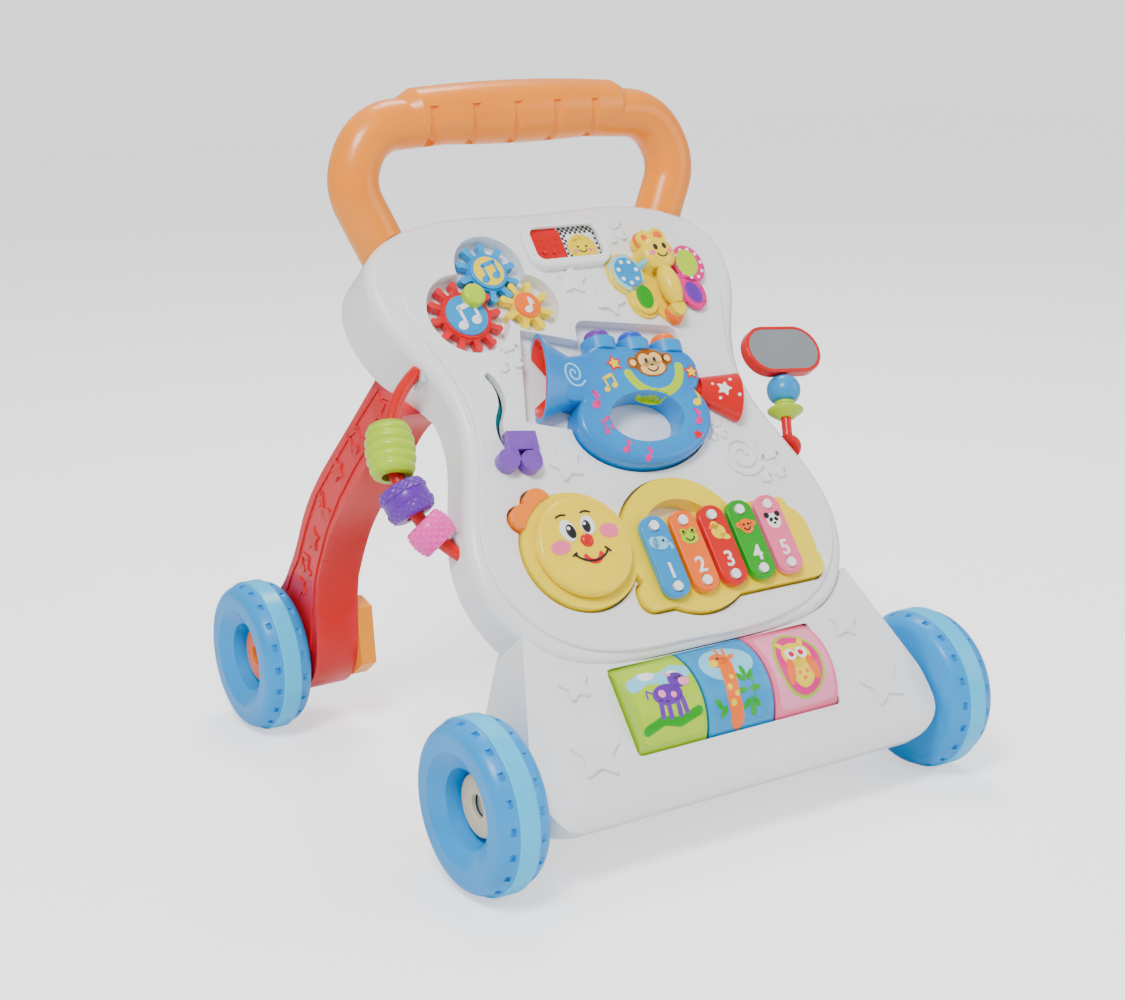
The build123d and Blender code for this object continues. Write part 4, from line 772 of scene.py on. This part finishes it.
sticker("butterfly_cheeks", [ring(2.0, (66.6, 326.6), 16), ring(2.0, (81.4, 326.9), 16)], PANEL, bug_head, 0.2,
        paint["rose"], "walker", 3.0)

# ------------------------------------------------------------ pictures on the rollers
def roller_picture(place, name, shapes, colour, thick):
    sticker(f"roller_{place}_{name}", shapes, PANEL, [f"roller_{place}"], thick, paint[colour],
            f"{place}_roller", 2.5)


for place, x, ground in (("left", -53.2, "lime"), ("middle", 0.0, "sky"), ("right", 53.2, "pale_pink")):
    border = [(x - 22.5, -4.0), (x + 22.5, -4.0), (x + 22.5, 47.0), (x - 22.5, 47.0)]
    roller_picture(place, "ground", [softened([Vector(p) for p in border], 0.12)], ground, 0.15)
cow = (-52.0, 23.0)
roller_picture("left", "sky", [stroke([(-73, 33), (-62, 37), (-50, 34), (-38, 38), (-33, 36)], 9)], "pale_blue", 0.22)
roller_picture("left", "cloud", [oval(6, 3, (-60, 38)), oval(4, 2.4, (-42, 36))], "white", 0.3)
roller_picture("left", "grass", [stroke([(-73, 4), (-60, 8), (-48, 5), (-33, 9)], 6)], "green", 0.25)
roller_picture("left", "cow", [oval(11, 7, cow), oval(6.4, 5.4, (cow[0] + 11, cow[1] + 8)),
                               bar((cow[0] - 7, cow[1] - 4), (cow[0] - 8, cow[1] - 13), 3.4),
                               bar((cow[0] - 2, cow[1] - 5), (cow[0] - 2, cow[1] - 14), 3.4),
                               bar((cow[0] + 5, cow[1] - 5), (cow[0] + 5, cow[1] - 14), 3.4),
                               bar((cow[0] + 9, cow[1] - 4), (cow[0] + 10, cow[1] - 13), 3.4),
                               stroke([(cow[0] - 10, cow[1] + 2), (cow[0] - 14, cow[1] + 5), (cow[0] - 15, cow[1])],
                                      1.4)], "purple", 0.45)
roller_picture("left", "cow_muzzle", [oval(3.8, 3.0, (cow[0] + 15, cow[1] + 6)), ring(2.6, (cow[0] - 4, cow[1] + 1), 16),
                                      ring(2.0, (cow[0] + 4, cow[1] - 1), 16),
                                      oval(2.4, 1.2, (cow[0] + 6.5, cow[1] + 13), 150)], "pale_pink", 0.6)
roller_picture("left", "cow_eye", [ring(0.9, (cow[0] + 11, cow[1] + 9.5), 12), ring(0.9, (cow[0] + 14, cow[1] + 9.8), 12)],
               "ink", 0.75)
roller_picture("middle", "sky", [oval(20, 12, (0, 34))], "pale_blue", 0.22)
roller_picture("middle", "giraffe", [stroke([(-4, -2), (-5, 12), (-3, 26), (-1, 34)], 10), oval(7.2, 5.2, (-4, 37), 12),
                                     bar((-1, 41), (0, 46), 1.8), bar((3, 40), (5, 44.5), 1.8),
                                     oval(3.2, 1.7, (6, 38), 20)], "tangerine", 0.45)
roller_picture("middle", "giraffe_spots", [ring(2.2, (-6, 8), 14), ring(1.8, (-2, 13), 14), ring(2.0, (-6, 18), 14),
                                           ring(1.7, (-2, 24), 14), oval(3.4, 2.6, (-9, 35.5), 10)],
               "yellow", 0.6)
roller_picture("middle", "giraffe_eye", [ring(1.0, (-4, 38.5), 12)], "ink", 0.75)
leaves = [oval(4.2, 1.8, (8 + 5 * math.cos(math.radians(t)), 14 + 12 * math.sin(math.radians(t))), t)
          for t in range(0, 360, 45)]
roller_picture("middle", "leaves", leaves + [stroke([(10, -2), (12, 12), (14, 26)], 1.2), oval(4, 2, (-14, 4), 50),
                                             oval(4, 2, (-17, 9), 120)], "green", 0.4)
owl = (53.2, 20.0)
roller_picture("right", "wood", [oval(18.5, 22.5, (owl[0], owl[1] + 2))], "pale_green", 0.25)
roller_picture("right", "disc", [oval(16.5, 20.5, (owl[0], owl[1] + 2))], "magenta", 0.32)
roller_picture("right", "owl", [oval(9.5, 13, (owl[0], owl[1] - 1)), oval(11, 9, (owl[0], owl[1] + 8)),
                                oval(4, 2, (owl[0] - 8, owl[1] + 16), 130), oval(4, 2, (owl[0] + 8, owl[1] + 16), 50)],
               "yellow", 0.45)
roller_picture("right", "owl_wings", [oval(3.2, 9, (owl[0] - 9, owl[1] - 2), -14), oval(3.2, 9, (owl[0] + 9, owl[1] - 2), 14),
                                      ring(1.4, (owl[0] - 3, owl[1] - 4), 12), ring(1.4, (owl[0] + 3, owl[1] - 4), 12),
                                      ring(1.4, (owl[0], owl[1] - 8), 12)], "tangerine", 0.6)
roller_picture("right", "owl_eyes", [ring(4.2, (owl[0] - 4.4, owl[1] + 9), 20), ring(4.2, (owl[0] + 4.4, owl[1] + 9), 20)],
               "white", 0.75)
roller_picture("right", "owl_pupils", [ring(2.0, (owl[0] - 3.8, owl[1] + 9), 16), ring(2.0, (owl[0] + 3.8, owl[1] + 9), 16)],
               "red", 0.9)

# ------------------------------------------------------------ raised pictures down each rear leg
leg_marks = [star(11, (36, 256), 80, 0.5), star(9, (88, 205), 60, 0.5), star(10, (118, 150), 90, 0.5),
             star(8, (133, 112), 70, 0.5)]
leg_notes = pair_note((64, 231), 17, -40) + note((104, 178), 17, -20) + pair_note((126, 130), 13, 0)
edge_line = [(14, 268), (38, 240), (64, 212), (84, 186), (99, 160), (109, 132), (116, 100), (124, 66)]
back_line = [(40, 268), (62, 246), (92, 212), (118, 182), (130, 158), (140, 130), (158, 104)]
for side, sign in (("left", -1), ("right", 1)):
    matrix = plane_matrix(Vector((sign * 0.14, 0, 0)), (0, sign, 0), (sign, 0, 0))

    def facing(shape):
        return [(sign * y, z) for y, z in shape][::sign]

    shapes = [facing(shape) for shape in leg_marks + leg_notes]
    sticker(f"leg_pictures_{side}", shapes, matrix, [f"leg_{side}"], 1.3, paint["red"], "walker", 4.0)
    sticker(f"leg_lines_{side}", [facing(stroke(edge_line, 2.2)), facing(stroke(back_line, 2.2))], matrix,
            [f"leg_{side}"], 1.1, paint["red"], "walker", 6.0)

# ------------------------------------------------------------ shaped beads on the bar
bar_high = on_panel(-122.5, 276.0, -15.0) / MM
bar_low = on_panel(-137.5, 147.0, -22.0) / MM
bar_middle = (bar_high + bar_low) / 2
chord = (bar_high - bar_low).normalized()
outward = Vector((-1, 0, 0))
outward = (outward - chord * outward.dot(chord)).normalized()
half_chord = (bar_high - bar_low).length / 2
bar_bulge = 34.0
bar_reach = (half_chord ** 2 + bar_bulge ** 2) / (2 * bar_bulge)
bar_centre = bar_middle - outward * (bar_reach - bar_bulge)


def bar_spot(angle):
    turn = math.radians(angle)
    out = outward * math.cos(turn) + chord * math.sin(turn)
    return (bar_centre + out * bar_reach) * MM, chord * math.cos(turn) - outward * math.sin(turn)


def barrel(half, end, full, bore, steps=40):
    profile = []
    for k in range(steps + 1):
        along = -half + 2 * half * k / steps
        rise = math.cos(math.pi / 2 * (along / half)) ** 0.5 if abs(along) < half else 0.0
        profile.append((along, end + (full - end) * rise, 1 < k < steps - 1))
    return profile + [(half, bore, False), (-half, bore, False)]


def ribs(along, angle):
    return -1.5 * (0.5 + 0.5 * math.cos(2 * math.pi * along / 6.6 + math.pi)) ** 2


def knurl(along, angle):
    if abs(along) < 3.4:
        return -1.0
    return 0.6 * math.sin(18 * angle) * math.sin(2 * math.pi * along / 4.2)


def pimples(along, angle):
    lattice = math.cos(14 * angle) * math.cos(2 * math.pi * along / 5.4)
    return 0.95 * max(lattice, 0.0) ** 0.7 - 0.9


for name, angle, half, end, full, bore, ripple in (("green", 5.6, 17.5, 11.5, 16.2, 7.4, ribs),
                                                   ("purple", -19.2, 11.0, 12.0, 16.4, 6.2, knurl),
                                                   ("pink", -37.5, 9.5, 11.5, 14.9, 6.0, pimples)):
    spot, way = bar_spot(angle)
    colour = {"green": "lime", "purple": "purple", "pink": "pink"}[name]
    piece = lathe(f"{name}_bead_moulded", barrel(half, end, full, bore), spot, way, paint[colour], f"{name}_bead",
                  turns=168 if name != "green" else 96, ripple=ripple)
    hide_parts(f"bead_{name}")

# ------------------------------------------------------------ wheel hubs
for corner, sign, colour in (("front_left", -1, "hub"), ("front_right", 1, "hub"), ("rear_left", -1, "tangerine"),
                             ("rear_right", 1, "tangerine")):
    spin = joints[f"{corner}_wheel_spin"]["pos_m"]
    low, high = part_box(f"wheel_{corner}")
    middle = Vector(((low.x + high.x) / 2, spin[1], spin[2]))
    seat = middle + Vector((sign, 0, 0)) * 0.0005
    profile = [(0.0, 7.4, False), (2.6, 7.4, False), (3.4, 8.2, False), (3.4, 17.0, False), (2.6, 19.4, False),
               (0.0, 20.4, False)]
    lathe(f"hub_cap_{corner}", profile, seat, Vector((sign, 0, 0)), paint[colour], f"{corner}_wheel",
          turns=64)

# ------------------------------------------------------------ floor, light and camera
floor_form = bmesh.new()
steps = 24
for k in range(steps + 1):
    for j in range(steps + 1):
        floor_form.verts.new((-6 + 12 * k / steps, -6 + 12 * j / steps, 0.0))
floor_form.verts.ensure_lookup_table()
for k in range(steps):
    for j in range(steps):
        here = k * (steps + 1) + j
        floor_form.faces.new([floor_form.verts[i] for i in (here, here + steps + 1, here + steps + 2, here + 1)])
floor_mesh = bpy.data.meshes.new("floor")
floor_form.to_mesh(floor_mesh)
floor_form.free()
floor = bpy.data.objects.new("floor", floor_mesh)
bpy.context.scene.collection.objects.link(floor)
SURROUND_LIGHT = 0.62
PAPER_GLOW = 0.9


def seen_brighter(tree, socket, lighting, seen):
    """Give a strength socket one value for lighting the scene and a higher one for what the camera sees."""
    ray = tree.nodes.new("ShaderNodeLightPath")
    level = tree.nodes.new("ShaderNodeMapRange")
    level.inputs["To Min"].default_value = lighting
    level.inputs["To Max"].default_value = seen
    tree.links.new(ray.outputs["Is Camera Ray"], level.inputs["Value"])
    tree.links.new(level.outputs["Result"], socket)


paper = plastic("floor_paper", (250, 250, 250), rough=0.8, coat=0.0, bump=0.02, mottle=0.01)
paper_shader = paper.node_tree.nodes["Principled BSDF"]
paper_shader.inputs["Emission Color"].default_value = (1.0, 1.0, 1.0, 1)
seen_brighter(paper.node_tree, paper_shader.inputs["Emission Strength"], 0.0, PAPER_GLOW)
floor_mesh.materials.append(paper)

world = bpy.data.worlds.new("studio")
world.use_nodes = True
backdrop = world.node_tree.nodes["Background"]
backdrop.inputs["Color"].default_value = (1.0, 1.0, 1.0, 1)
seen_brighter(world.node_tree, backdrop.inputs["Strength"], SURROUND_LIGHT, SURROUND_LIGHT + PAPER_GLOW)
bpy.context.scene.world = world


def soft_light(name, at, aim, size, power):
    light = bpy.data.lights.new(name, "AREA")
    light.shape = "DISK"
    light.size = size
    light.energy = power
    holder = bpy.data.objects.new(name, light)
    bpy.context.scene.collection.objects.link(holder)
    holder.location = at
    holder.rotation_euler = (Vector(aim) - Vector(at)).to_track_quat("-Z", "Y").to_euler()


soft_light("key_light", (-1.0, -0.9, 1.9), (0, 0, 0.2), 0.7, 44)
soft_light("fill_light", (1.8, -1.4, 1.0), (0, 0, 0.2), 1.4, 12)
soft_light("top_light", (0.5, 0.9, 2.2), (0, 0, 0.2), 0.9, 26)

camera = bpy.data.cameras.new("camera")
camera.lens = 61.53
camera.sensor_width = 36.0
camera.shift_x = 0.0039
camera.shift_y = 0.0159
camera.clip_end = 50
view = bpy.data.objects.new("camera", camera)
bpy.context.scene.collection.objects.link(view)
right = Vector((0.83833, -0.54497, -0.01423))
above = Vector((0.15340, 0.21077, 0.96542))
away = Vector((0.52313, 0.81153, -0.26030))
turn = Matrix((right, above, -away)).transposed().to_4x4()
view.matrix_world = Matrix.Translation((-0.7120, -1.08284, 0.51747)) @ turn
bpy.context.scene.camera = view
